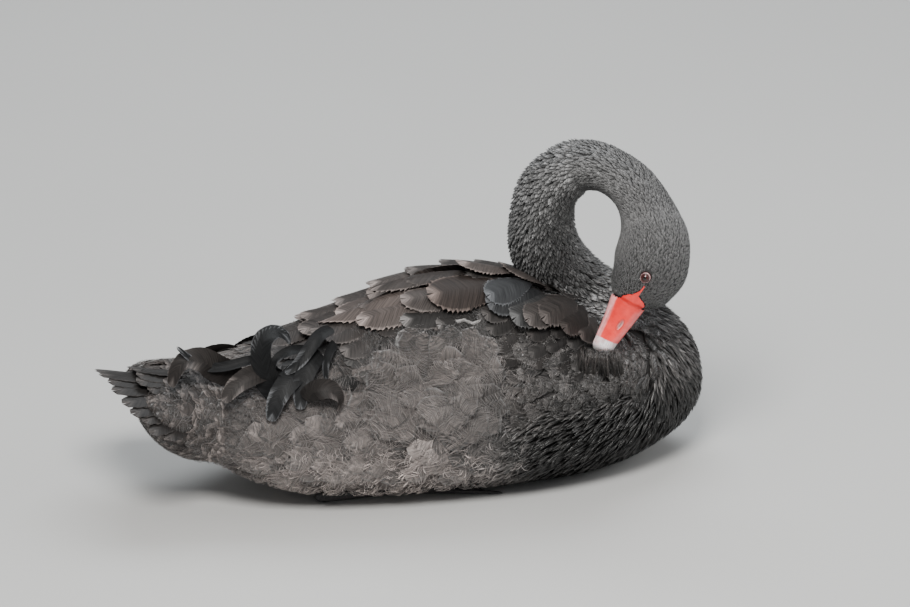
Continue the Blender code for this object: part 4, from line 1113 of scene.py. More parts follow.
def on_wing(x, angle):
    """A place on the folded wing at x, at an angle in degrees from the spine, the bird's right below 0."""
    turn = np.radians(angle)
    return over_body(x, turn, wing_swell(x, turn))


def tiered(side, tiers, seed):
    """Feathers in tiers, in rows: x and angle of root, of tip, then width, stand, grey, warmth, rim, curl.

    A tier is a count and pairs from its top feather to its bottom one; the aim is in degrees down from
    straight back, and the tip follows from it and the length. TIER_NOISES scatters every value.
    """
    chance = np.random.default_rng(seed)
    rows = []
    for count, *pairs in tiers:
        share = np.linspace(0, 1, count)
        x, angle, length, width, aim, stand, grey, warmth, rim, curl = (
            first + (last - first) * share + chance.uniform(-noise, noise, count)
            for (first, last), noise in zip(pairs, TIER_NOISES)
        )
        aim = np.radians(aim)
        tip_angle = angle + np.degrees(length * np.sin(aim) / SKIN_PER_RADIAN)
        tip_x = x - length * np.cos(aim)
        rows.append(np.stack((x, angle, tip_x, tip_angle, width, stand, grey, warmth, rim, curl)))
    return np.concatenate(rows, axis=1).T * np.array((1, side, 1, side, 1, 1, 1, 1, 1, 1))


def wing_vanes(feathers, seed, **looks):
    """Wing feathers from their rows: each is marched over the hide from its root towards its tip."""
    x, angle, tip_x, tip_angle, width, stand, grey, warmth, rim, curl = np.asarray(feathers, float).T
    chance = np.random.default_rng(seed)
    roots = on_wing(x, angle)
    lie = on_wing(tip_x, tip_angle) - roots
    length = np.linalg.norm(lie, axis=1)
    spots, aheads, ups = march(roots, lie, length, chance.normal(0, 0.08, len(x)), steps=7)
    tilt = -np.sign(angle + 1e-6) * chance.uniform(0.0012, 0.0026, len(x))
    sheet = vane(spots, aheads, ups, length, width, seed=seed + 1, stand=(stand - 0.006, stand), tilt=tilt,
                 curl=curl, grey=grey, warmth=warmth, rim=rim, **looks)
    return together([sheet, fringe(sheet, looks, grey * rim, warmth, seed + 2)])


def fringe(sheet, looks, tones, warmth, seed):
    """Barbs that run on past the edges of vanes, one from each row on each side.

    Each starts inside the edge, follows the row out past it by 0.3 to 1.8 mm, and bends towards the tip.
    """
    chance = np.random.default_rng(seed)
    rows, wide = looks["rows"], 2 * len(looks["columns"]) - 1
    grid = sheet[0].reshape(-1, rows * wide + rows, 3)[:, :rows * wide].reshape(-1, rows, wide, 3)
    lines, ups = [], []
    for edge, beside, way in ((0, 1, -1), (-1, -2, 1)):
        outer, inner = grid[:, FRINGE_FROM_ROW:, edge], grid[:, FRINGE_FROM_ROW:, beside]
        out = unit(outer - inner)
        ahead = unit(outer - grid[:, FRINGE_FROM_ROW - 1:-1, edge])
        reach = chance.uniform(0.0003, 0.0018, (*outer.shape[:2], 1))
        start = inner + (outer - inner) * 0.55
        middle = outer * 0.8 + inner * 0.2 + out * reach * 0.3
        end = outer + out * reach + ahead * reach * 0.5
        lines.append(np.stack((start, middle, end), axis=2))
        ups.append(np.repeat(unit(np.cross(ahead, out) * way)[:, :, None], 3, axis=2))
    lines, ups = np.concatenate(lines, axis=1), np.concatenate(ups, axis=1)
    each = lines.shape[1]
    tones = np.repeat(tones, each) * np.clip(chance.normal(1.0, 0.3, len(tones) * each), 0.3, 1.8)
    tones = np.minimum(tones * 1.3, 0.5)
    lines, ups = lines.reshape(-1, 3, 3), ups.reshape(-1, 3, 3)
    return hairs(lines + ups * 0.0003, ups, 0.0004, tones, np.repeat(warmth, each), seed)


wing_plumes = plume_finish("wing_plumes", roughness=0.48, barbs=75.0, relief=0.4, gloss=0.12)
scapular_grid = dict(rows=35, columns=(0.0, 0.45, 0.82, 1.0), shape=(1.25, 0.50), arch=0.0034, fray=0.045,
                     notch=0.10, rim_from=0.80, thickness=0.0005, mottling=0.14)
# x and angle of root and of tip, width, stand, grey, warmth, rim, curl
loosened_scapulars = (
    (0.010, -20, -0.100, 0, 0.040, 0.0090, 0.075, 0.75, 4.0, 0.004),
    (0.022, -24, -0.070, -16, 0.040, 0.0080, 0.055, 0.70, 4.2, 0.003),
    (0.030, -13, -0.040, -3, 0.034, 0.0110, 0.045, 0.60, 4.5, 0.003),
    (0.055, -7, -0.008, 3, 0.030, 0.0120, 0.043, 0.65, 4.0, 0.002),
    (0.076, -20, 0.000, -23, 0.048, 0.0120, 0.024, 0.95, 6.4, 0.003),
    (0.040, -25, -0.022, -18, 0.034, 0.0090, 0.045, 0.60, 4.2, 0.002),
    # the next two, lowest on the wing, are dark partly as painted shade of the gap under the scapulars
    (0.034, -29, -0.030, -28, 0.030, 0.0070, 0.015, 0.20, 9.1, 0.002),
    (0.050, -32, 0.000, -33, 0.026, 0.0060, 0.020, 0.20, 6.4, 0.001),
    (0.104, -9, 0.034, -8, 0.034, 0.0140, 0.043, 0.70, 4.5, 0.003),
    (0.128, -15, 0.074, -8, 0.032, 0.0140, 0.037, 0.60, 4.2, 0.002),
    (0.104, -16, 0.050, -26, 0.036, 0.0130, 0.038, -0.50, 3.8, 0.002),
    (0.112, -20, 0.052, -33, 0.036, 0.0120, 0.028, -0.40, 3.6, 0.002),
    (0.126, -22, 0.072, -36, 0.038, 0.0125, 0.026, -0.10, 4.0, 0.002),
    (0.138, -21, 0.086, -38, 0.036, 0.0130, 0.036, 0.45, 2.9, 0.002),
    (0.152, -16, 0.104, -39, 0.036, 0.0135, 0.033, 0.50, 2.9, 0.001),
    (0.164, -20, 0.122, -41, 0.034, 0.0130, 0.030, 0.55, 2.6, 0.001),
    (0.174, -28, 0.140, -43, 0.030, 0.0120, 0.028, 0.50, 2.6, 0.000),
    (0.150, -8, 0.106, -14, 0.030, 0.0130, 0.031, 0.45, 3.7, 0.000),
    (0.166, -10, 0.128, -20, 0.028, 0.0120, 0.028, 0.35, 3.4, 0.000),
    (0.030, -33, 0.018, -34, 0.0040, 0.0075, 0.320, 0.10, 1.0, 0.000),
    (0.044, -34, 0.032, -36, 0.0036, 0.0070, 0.380, 0.10, 1.0, 0.000),
    (0.036, -35, 0.026, -34, 0.0034, 0.0070, 0.300, 0.10, 1.0, 0.000),
    (0.012, -33, 0.002, -34, 0.0030, 0.0070, 0.260, 0.10, 1.0, 0.000),
)
loosened_tiers = (
    # count, x of root, angle, length, width, aim, stand, grey, warmth, rim, curl: top one first
    (6, (-0.05, -0.045), (20, 40), (0.13, 0.105), (0.026, 0.03), (-6, -2), (0.002, 0.001),
     (0.023, 0.026), (-0.2, 0), (2.5, 2.5), (0.01, 0.002)),
    (5, (-0.085, -0.075), (10, 40), (0.08, 0.066), (0.036, 0.036), (0, 10), (0.006, 0.003),
     (0.036, 0.026), (0.3, 0), (3.4, 2.5), (0.016, 0.004)),
    (5, (-0.04, -0.03), (10, 40), (0.074, 0.06), (0.038, 0.034), (0, 12), (0.006, 0.002),
     (0.042, 0.021), (0.5, 0.1), (3.4, 3.1), (0.006, 0.001)),
    (5, (0.004, 0.008), (8, 40), (0.066, 0.05), (0.038, 0.03), (2, 16), (0.006, 0.002),
     (0.036, 0.021), (0.5, 0.2), (3.4, 3.1), (0.003, 0)),
    (5, (0.05, 0.054), (8, 42), (0.062, 0.044), (0.036, 0.028), (6, 22), (0.007, 0.002),
     (0.031, 0.023), (0.5, 0.2), (3.4, 2.5), (0.002, 0)),
    (6, (0.092, 0.094), (8, 44), (0.054, 0.04), (0.034, 0.024), (16, 30), (0.008, 0.002),
     (0.029, 0.026), (0.3, 0.2), (3.1, 2.5), (0.001, 0)),
    (6, (0.124, 0.122), (12, 46), (0.046, 0.034), (0.03, 0.02), (26, 36), (0.008, 0.003),
     (0.026, 0.026), (0.3, 0.2), (2.8, 2.5), (0, 0)),
    (6, (0.146, 0.146), (18, 50), (0.04, 0.03), (0.024, 0.016), (30, 40), (0.007, 0.003),
     (0.026, 0.025), (0.2, 0.2), (2.5, 2.2), (0, 0)),
    (6, (0.16, 0.16), (24, 54), (0.032, 0.026), (0.02, 0.013), (34, 42), (0.006, 0.003),
     (0.023, 0.023), (0.2, 0.2), (2.2, 2.2), (0, 0)),
)
closed_tiers = (
    (7, (-0.05, -0.04), (22, 50), (0.14, 0.12), (0.026, 0.03), (-4, 2), (0.003, 0.001),
     (0.023, 0.029), (0, 0.1), (2.5, 2.5), (0.002, 0)),
    (7, (-0.085, -0.07), (12, 52), (0.085, 0.07), (0.036, 0.036), (2, 14), (0.006, 0.003),
     (0.036, 0.036), (0.3, 0.4), (4, 3.1), (0.004, 0.001)),
    (8, (-0.045, -0.03), (8, 54), (0.078, 0.06), (0.042, 0.036), (2, 20), (0.008, 0.004),
     (0.044, 0.044), (0.6, 0.4), (4.9, 3.1), (0.002, 0)),
    (8, (-0.008, 0.004), (6, 56), (0.076, 0.056), (0.044, 0.034), (6, 24), (0.009, 0.004),
     (0.042, 0.044), (0.6, 0.4), (5.2, 3.1), (0.002, 0)),
    (9, (0.032, 0.04), (6, 57), (0.074, 0.05), (0.044, 0.03), (10, 28), (0.01, 0.004),
     (0.039, 0.042), (0.6, 0.4), (4.9, 2.8), (0.001, 0)),
    (9, (0.066, 0.07), (6, 58), (0.068, 0.046), (0.042, 0.028), (16, 32), (0.01, 0.004),
     (0.036, 0.036), (0.4, 0.3), (4, 2.5), (0.001, 0)),
    (9, (0.095, 0.096), (8, 59), (0.06, 0.04), (0.038, 0.024), (24, 36), (0.01, 0.004),
     (0.031, 0.032), (0.3, 0.3), (3.4, 2.5), (0, 0)),
    (8, (0.118, 0.118), (14, 59), (0.052, 0.036), (0.034, 0.02), (30, 40), (0.009, 0.004),
     (0.029, 0.029), (0.3, 0.2), (3.1, 2.5), (0, 0)),
    (8, (0.138, 0.138), (22, 60), (0.044, 0.032), (0.028, 0.016), (34, 42), (0.007, 0.003),
     (0.026, 0.026), (0.2, 0.2), (2.8, 2.2), (0, 0)),
    (7, (0.154, 0.154), (30, 60), (0.034, 0.028), (0.02, 0.013), (36, 44), (0.005, 0.003),
     (0.025, 0.024), (0.2, 0.2), (2.5, 2.2), (0, 0)),
)
coat_piece("wing_right_coverts", [
    wing_vanes(tiered(-1, loosened_tiers, seed=101), seed=103, **scapular_grid),
    wing_vanes(loosened_scapulars, seed=105, **scapular_grid),
], wing_plumes, replaces=("wing_right",), crisp=True)
coat_piece("wing_left_coverts", [
    wing_vanes(tiered(1, closed_tiers, seed=111), seed=113, **scapular_grid),
], wing_plumes, replaces=("wing_left",), crisp=True)

# Curled inner flight feathers.
# Long soft feathers behind the wing, slate grey with pale edges, that curl up and over the rump.
# Each follows its own smooth curve from a root inside the wing, its face turning as the curve goes.

# rows of a curve: a place and the way the feather's face looks there
SLATE_CURLS = (
    ((-0.145, -0.062, 0.128, -0.24, -0.88, 0.41), (-0.170, -0.068, 0.140, -0.30, -0.85, 0.40),
     (-0.184, -0.070, 0.160, -0.60, -0.70, 0.36), (-0.188, -0.064, 0.182, -0.77, -0.52, 0.36),
     (-0.182, -0.054, 0.196, -0.40, -0.40, 0.80), (-0.168, -0.048, 0.200, 0.10, -0.30, 0.93),
     (-0.157, -0.048, 0.193, 0.60, -0.40, 0.50), (-0.153, -0.050, 0.184, 0.75, -0.50, 0.10)),
    ((-0.107, -0.048, 0.196, -0.30, -0.60, 0.70), (-0.123, -0.058, 0.194, -0.30, -0.60, 0.70),
     (-0.137, -0.066, 0.184, -0.20, -0.80, 0.50), (-0.150, -0.072, 0.172, -0.10, -0.90, 0.40),
     (-0.166, -0.076, 0.163, -0.10, -0.90, 0.30)),
    ((-0.125, -0.060, 0.178, -0.10, -0.90, 0.40), (-0.140, -0.074, 0.168, -0.20, -0.88, 0.41),
     (-0.150, -0.084, 0.150, -0.24, -0.88, 0.35), (-0.154, -0.094, 0.128, -0.24, -0.90, 0.25)),
    ((-0.180, -0.036, 0.166, -0.10, -0.70, 0.70), (-0.201, -0.036, 0.163, -0.10, -0.70, 0.70),
     (-0.222, -0.036, 0.160, -0.05, -0.75, 0.66), (-0.242, -0.036, 0.162, 0.20, -0.80, 0.60),
     (-0.258, -0.037, 0.174, 0.50, -0.75, 0.40), (-0.273, -0.038, 0.190, 0.60, -0.75, 0.30)),
    ((-0.140, -0.066, 0.166, -0.20, -0.88, 0.41), (-0.163, -0.080, 0.156, -0.30, -0.88, 0.41),
     (-0.178, -0.088, 0.140, -0.30, -0.90, 0.35), (-0.186, -0.093, 0.118, -0.24, -0.95, 0.20)),
    ((-0.108, -0.060, 0.186, 0.30, -0.80, 0.50), (-0.118, -0.072, 0.180, 0.30, -0.88, 0.41),
     (-0.124, -0.080, 0.168, 0.40, -0.88, 0.35), (-0.124, -0.086, 0.154, 0.50, -0.85, 0.20)),
    ((-0.135, -0.050, 0.176, -0.20, -0.60, 0.75), (-0.160, -0.058, 0.178, -0.50, -0.50, 0.70),
     (-0.176, -0.066, 0.170, -0.80, -0.50, 0.30), (-0.176, -0.072, 0.157, -0.80, -0.60, 0.00)),
)
SLATE_CURL_WIDTHS = (0.030, 0.015, 0.022, 0.011, 0.024, 0.011, 0.013)
BROWN_CURLS = (
    ((-0.200, -0.028, 0.140, -0.24, -0.80, 0.50), (-0.228, -0.034, 0.158, -0.40, -0.75, 0.50),
     (-0.250, -0.038, 0.172, -0.50, -0.60, 0.60), (-0.268, -0.042, 0.172, -0.85, -0.40, 0.40),
     (-0.278, -0.046, 0.160, -0.90, -0.45, 0.10), (-0.281, -0.048, 0.148, -0.85, -0.50, -0.10)),
    ((-0.180, -0.060, 0.160, 0.00, -0.70, 0.70), (-0.200, -0.066, 0.160, -0.10, -0.80, 0.60),
     (-0.220, -0.072, 0.152, -0.30, -0.85, 0.40), (-0.232, -0.076, 0.138, -0.50, -0.85, 0.10)),
    ((-0.150, -0.092, 0.140, 0.00, -0.90, 0.40), (-0.138, -0.100, 0.152, 0.20, -0.90, 0.40),
     (-0.124, -0.104, 0.152, 0.50, -0.80, 0.40), (-0.114, -0.106, 0.140, 0.80, -0.60, 0.10),
     (-0.118, -0.108, 0.128, 0.60, -0.80, -0.10)),
)
BROWN_CURL_WIDTHS = (0.030, 0.022, 0.022)
# the left side's curls are three of the right's, mirrored and a little lower
LEFT_SIDE = np.array((1.0, -0.95, 0.84, 1.0, -1.0, 1.0))
LEFT_SLATE_CURLS = [np.array(SLATE_CURLS[k]) * LEFT_SIDE for k in (2, 4)]
LEFT_BROWN_CURLS = [np.array(BROWN_CURLS[1]) * LEFT_SIDE]
curl_grid = dict(rows=35, columns=(0.0, 0.45, 0.90, 1.0), arch=0.0, cup=0.0020, fray=0.02, notch=0.03,
                 thickness=0.0005, mottling=0.12, rim_from=0.93, stand=(0.0, 0.0))
slate_grid = dict(shape=(0.5, 0.3), **curl_grid)
brown_grid = dict(shape=(0.6, 0.35), grey=0.022, rim=5.0, **curl_grid)
coat_piece("curled_feathers", [
    curled(SLATE_CURLS, SLATE_CURL_WIDTHS, seed=121, grey=0.012, warmth=-0.45, rim=9.0, **slate_grid),
    curled(BROWN_CURLS, BROWN_CURL_WIDTHS, seed=123, warmth=0.45, **brown_grid),
    curled(LEFT_SLATE_CURLS, (0.028, 0.030), seed=125, grey=0.013, warmth=-0.40, rim=8.0, **slate_grid),
    curled(LEFT_BROWN_CURLS, (0.022,), seed=127, warmth=0.40, **brown_grid),
], wing_plumes, crisp=True)

# Tail.
# A short fan of stiff flight feathers over the rump, with rounded coverts above and below their roots.
# The feathers are rooted in the tail's stump and lie over one another from the middle outwards.
TAIL_ROOT = np.array((-0.215, 0.0, 0.126))
TAIL_SPREAD = 46
TAIL_SLOPES = (0.16, 0.36)
TAIL_LAYER_STEP = 0.00024
TAIL_KNOTS = 6


def tail_fan(count, spread, start, length, width, layer, seed, **looks):
    """Fan feathers: straight shafts from one meeting place, z = root + (s0 - s1·share^1.5)·r + layer.

    Each lies a step lower than its neighbour nearer the middle.
    """
    chance = np.random.default_rng(seed)
    turn = np.radians(np.linspace(-spread, spread, count) + chance.uniform(-1.2, 1.2, count))
    length = length * (1 - 0.14 * (turn / np.radians(TAIL_SPREAD)) ** 2) * chance.uniform(0.95, 1.04, count)
    r = start + length[:, None] * np.linspace(0, 1, TAIL_KNOTS)
    share = np.abs(np.degrees(turn)) / TAIL_SPREAD
    slope = TAIL_SLOPES[0] - TAIL_SLOPES[1] * np.minimum(share, 1.2) ** 1.5
    ahead = np.stack((-np.cos(turn), np.sin(turn), slope), axis=1)
    spots = TAIL_ROOT + r[..., None] * ahead[:, None]
    spots[..., 2] += layer - TAIL_LAYER_STEP * np.abs(np.arange(count) - (count - 1) / 2)[:, None]
    ahead = unit(ahead)
    lean = np.stack((np.zeros(count), np.sin(turn) * 0.5, np.ones(count)), axis=1)
    ups = np.repeat(along_skin(lean, ahead)[:, None], TAIL_KNOTS, axis=1)
    aheads = np.repeat(ahead[:, None], TAIL_KNOTS, axis=1)
    tilt = 0.0022 * np.sign(turn) * (np.abs(turn) > 0.01)
    return vane(spots, aheads, ups, length, width, seed=seed + 1, on_skin=False, tilt=tilt, grey=0.015,
                warmth=0.35, **looks)


def is_rump(points):
    """The rump's top and sides."""
    return (points[:, 0] < -0.205) & (points[:, 2] > 0.05)


tail_plumes = plume_finish("tail_plumes", roughness=0.5, barbs=70.0, relief=0.35, gloss=0.22)
fan_grid = dict(rows=19, columns=(0.0, 0.5, 0.85, 1.0), shape=(1.2, 0.4), arch=0.0012, fray=0.05, rim=4.5,
                rim_from=0.84, notch=0.10, thickness=0.0006)
coat_piece("tail_fan", [
    tail_fan(count=15, spread=46, start=0.030, length=0.103, width=0.026, layer=0.000, seed=131, **fan_grid),
    tail_fan(count=10, spread=36, start=0.020, length=0.078, width=0.028, layer=0.006, seed=135, **fan_grid),
], tail_plumes, replaces=("tail",))
coat_piece("tail_coverts", [
    body_feathers(spacing=0.0125, seed=141, wanted=is_rump, length=0.0280, width=0.0220, scatter=0.14,
                  rows=13, columns=(0.0, 0.4, 0.78, 1.0), shape=(1.2, 0.42), stand=(-0.001, 0.0046),
                  arch=0.0014, rim=3.4, rim_from=0.86, fray=0.04, rings=0.45, mottling=0.16),
], tail_plumes, crisp=True)

# Bill.
# Two horny halves, coral red, with a pale band before the nail, pale pink along the lower one.
# They meet along the line of the mouth; the nostrils are slits sunk in the sides of the upper one.
BILL_LENGTH = 0.058
BILL_SHARES = (0.0, 0.25, 0.5, 0.75, 0.92, 1.0)
CULMEN_RISES = (0.0190, 0.0157, 0.0122, 0.0082, 0.0045, -0.0020)
MOUTH_RISES = (-0.0085, -0.0088, -0.0090, -0.0092, -0.0096, -0.0104)
CHIN_RISES = (-0.0172, -0.0160, -0.0150, -0.0141, -0.0132, -0.0120)
BILL_HALF_WIDTHS = (0.0158, 0.0135, 0.0122, 0.0122, 0.0110, 0.0050)
MOUTH_GAP = 0.0003
NOSTRIL_AT = 0.37
NOSTRIL_RISE = 0.0072
NOSTRIL_SLANT = 0.2
NOSTRIL_HALF_SIZES = (0.0052, 0.0019)
BAND_STARTS = 0.72
CORAL = np.array((0.98, 0.046, 0.036))
DEEP_CORAL = np.array((0.88, 0.018, 0.014))
BAND_WHITE = np.array((0.90, 0.80, 0.80))
MOUTH_AND_HIGHLIGHT_PINK = np.array((0.96, 0.42, 0.42))
NOSTRIL_PAINTED_HIGHLIGHT = np.array((0.66, 0.50, 0.48))


def nostril_share(share, rise):
    """How far a place of the bill lies from a nostril, in the nostril's half sizes, and how far across it."""
    forward = (share - NOSTRIL_AT) * BILL_LENGTH
    across = rise - NOSTRIL_RISE + NOSTRIL_SLANT * forward
    return np.hypot(forward / NOSTRIL_HALF_SIZES[0], across / NOSTRIL_HALF_SIZES[1]), across


def bill_half(upper):
    """One half in D-shaped sections, closed by their flat, the nostril sunk in the upper one's sides.

    Across is w·|cos|^0.8 and the rise flat + bulge·sin^0.85, both over half a turn.
    """
    share = np.linspace(0, 1, 90)[:, None] ** 0.9
    mouth = through(BILL_SHARES, MOUTH_RISES, share)
    rim = through(BILL_SHARES, CULMEN_RISES if upper else CHIN_RISES, share)
    flat = mouth + MOUTH_GAP / 2 * (1 if upper else -1)
    half = through(BILL_SHARES, BILL_HALF_WIDTHS, share)
    turn = np.linspace(0, np.pi, 61)[None]
    across = half * np.sign(np.cos(turn)) * np.abs(np.cos(turn)) ** 0.8
    rise = flat + (rim - flat) * np.sin(turn) ** 0.85
    if upper:
        off, _ = nostril_share(share, rise)
        across = across * (1 - 0.20 * np.exp(-off**4) + 0.05 * np.exp(-((off - 1.4) / 0.35) ** 2))
    place = BILL_ROOT - head_back * (MOUTH_GAP + share * (BILL_LENGTH - MOUTH_GAP))[..., None]
    rings = place + head_crown * rise[..., None] + head_right * across[..., None]
    return rings if upper else rings[:, ::-1]


def bill_colours(points, upper):
    """Coral red, white from the band to the tip, pink along the mouth, a painted pink highlight along the
    culmen, a painted pale highlight round the nostrils, and painted shade in their openings.

    Each colour is laid over the ones before it by smooth steps of the share along the bill and of the rise.
    """
    out = points - BILL_ROOT
    share = -(out @ head_back) / BILL_LENGTH
    rise = out @ head_crown
    colours = CORAL + (DEEP_CORAL - CORAL) * (0.6 * ease(0.6, 0.1, share))[:, None]
    band = ease(BAND_STARTS, BAND_STARTS + 0.025, share)
    grain = 1 - 0.40 * ease(0.2, 0.9, np.sin(1900 * rise + 300 * share) * np.sin(2300 * (out @ head_right)))
    colours = colours + (BAND_WHITE * grain[:, None] - colours) * band[:, None] * 0.94
    edge = 1 - ease(-0.0080, -0.0058, rise)
    # painted highlight: a pink line along the culmen, where the wet horn catches the light; the pink along
    # the mouth is the bill's own
    painted_ridge_highlight = ease(0.0042, 0.0012, through(BILL_SHARES, CULMEN_RISES, share) - rise) * ease(0.0, 0.1, share)
    edge = np.maximum(edge, 0.30 * painted_ridge_highlight) * (1 - band)
    colours = colours + (MOUTH_AND_HIGHLIGHT_PINK - colours) * (edge * (0.75 if upper else 0.90))[:, None]
    off, across = nostril_share(share, rise)
    # painted highlight: the patch round each nostril is pale as if its wet rims caught the light
    patch = np.exp(-((off / 0.95) ** 4))[:, None] * upper
    colours = colours + (NOSTRIL_PAINTED_HIGHLIGHT - colours) * 0.8 * patch
    # painted shade: the nostril's opening and a groove ringing it are darkened as the shade inside the pit
    painted_slit_shade = np.exp(-((off / 0.85) ** 4) - ((across + 0.0004) / 0.0006) ** 2)
    painted_slit_shade = painted_slit_shade + 0.4 * np.exp(-((off - 1.3) / 0.25) ** 2)
    return colours * (1 - 0.75 * painted_slit_shade * upper)[:, None]


# wet waxy horn, in soft clouds and small dents of one noise
horn = finish("bill_horn", 130.0, (0.35, 0.90, 0.75, 0.75), (0.68, 1.10, 1.35, 1.35), relief=(0.5, 0.0005),
              detail=5.0, Roughness=0.30, Specular_IOR_Level=0.5, Coat_Weight=0.45, Coat_Roughness=0.12,
              Subsurface_Weight=0.08, Subsurface_Radius=(0.004, 0.0012, 0.0008), Subsurface_Scale=1.0)
for upper, name in ((True, "bill_upper"), (False, "bill_lower")):
    rings = bill_half(upper)
    points = tube_points(rings)
    thing = woven(name + "_horn", points, *tube_faces(*rings.shape[:2]))
    wear_colour(thing, bill_colours(points, upper))
    thing.data.set_sharp_from_angle(angle=np.radians(50))
    thing.data.materials.append(horn)
    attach(thing, "root")
    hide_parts(name)

# Eyes, lids and the bare strip from the eye to the bill.
# Each eye is a wet dark red ball with a black pupil in rings of lid; red skin runs up to it from the bill.
# The ball sits in the head to two thirds of its depth.
CORNEA_RISE = 0.00035
IRIS = np.array((0.050, 0.007, 0.006))
PUPIL_GREY = 0.004
# radius, thickness, how far out along the eye's view, squeeze, and colour of a lid's rings
LIDS = (
    (0.0053, 0.0006, 0.0031, 0.90, (0.62, 0.40, 0.40)),
    # the middle ring is dark partly as the lid's own dusky skin and partly as painted shade under the lid
    (0.0044, 0.0008, 0.0041, 0.88, (0.050, 0.022, 0.022)),
    (0.0036, 0.0005, 0.0048, 0.86, (0.090, 0.030, 0.030)),
)
BARE_ON_BILL = 0.012
BARE_ROWS_ON_BILL = 8
BARE_ROWS_BEHIND = 15
BARE_RISE = 0.0012
BARE_THICKNESS = 0.0014


def eye_ball(side):
    """A ball in rings about the way it looks, fuller by e^-(tilt / 0.5)² of the cornea's rise."""
    middle, looks = eye_middles[side], eye_looks[side]
    first = unit(np.cross(looks, (0.0, 0.0, 1.0)))
    second = np.cross(looks, first)
    tilt = np.linspace(0, np.pi, 26)[1:-1, None]
    turn = np.linspace(0, 2 * np.pi, 33)[None, :-1]
    full = EYE_RADIUS + CORNEA_RISE * np.exp(-(tilt / 0.5) ** 2)
    return middle + (
        looks * (full * np.cos(tilt) + 0 * turn)[..., None]
        + first * (full * np.sin(tilt) * np.cos(turn))[..., None]
        + second * (full * np.sin(tilt) * np.sin(turn))[..., None]
    )


def lid_ring(side, radius, thick, out, squeeze):
    """A lid: a ring about the eye's view, radius·(1, squeeze), of a round section, wrinkled by sin 9t."""
    middle, looks = eye_middles[side], eye_looks[side]
    long = along_skin(head_back * 1.0 + head_crown * 0.25, looks)
    tall = np.cross(looks, long)
    turn = np.linspace(0, 2 * np.pi, 49)[:-1, None]
    roll = np.linspace(0, 2 * np.pi, 11)[None, :-1]
    thin = thick * (1 + 0.10 * np.sin(9 * turn))
    reach = radius + thin * np.cos(roll)
    centre = middle + looks * out
    rings = centre + (
        long * (reach * np.cos(turn))[..., None]
        + tall * (reach * squeeze * np.sin(turn))[..., None]
        + looks * (thin * np.sin(roll) + 0 * turn)[..., None]
    )
    count, sides = rings.shape[:2]
    i, j = np.meshgrid(np.arange(count), np.arange(sides), indexing="ij")
    a, b = i * sides + j, i * sides + (j + 1) % sides
    c, d = (i + 1) % count * sides + (j + 1) % sides, (i + 1) % count * sides + j
    return rings.reshape(-1, 3), np.stack((a, d, c, b), axis=-1).reshape(-1, 4)


def bill_radius(turn, share):
    """How far the bill's outline at a share of its length lies from the head's axis, by angle.

    It is read between points of the two D-shaped sections that bill_half gives.
    """
    t = np.linspace(0, np.pi, 400)
    mouth = through(BILL_SHARES, MOUTH_RISES, share)
    across = through(BILL_SHARES, BILL_HALF_WIDTHS, share) * np.sign(np.cos(t)) * np.abs(np.cos(t)) ** 0.8
    rises = [
        mouth + (through(BILL_SHARES, rims, share) - mouth) * np.sin(t) ** 0.85
        for rims in (CULMEN_RISES, CHIN_RISES)
    ]
    rise, across = np.concatenate(rises) - HEAD_AXIS[0][1], np.tile(across, 2)
    angles = np.arctan2(across, rise)
    order = np.argsort(angles)
    return np.interp(turn, angles[order], np.hypot(across, rise)[order], period=2 * np.pi)


def sheet_faces(rows, wide):
    """Quads of a closed sheet: a grid, the same grid turned over below it, and walls round their edges."""
    grid = np.arange(rows * wide).reshape(rows, wide)
    quads = np.stack((grid[:-1, :-1], grid[:-1, 1:], grid[1:, 1:], grid[1:, :-1]), axis=-1).reshape(-1, 4)
    edge = np.concatenate((grid[0], grid[1:, -1], grid[-1, -2::-1], grid[-2:0:-1, 0]))
    beside = np.roll(edge, -1)
    below = rows * wide
    walls = np.stack((edge, edge + below, beside + below, beside), axis=-1)
    return np.concatenate((quads, quads[:, ::-1] + below, walls))


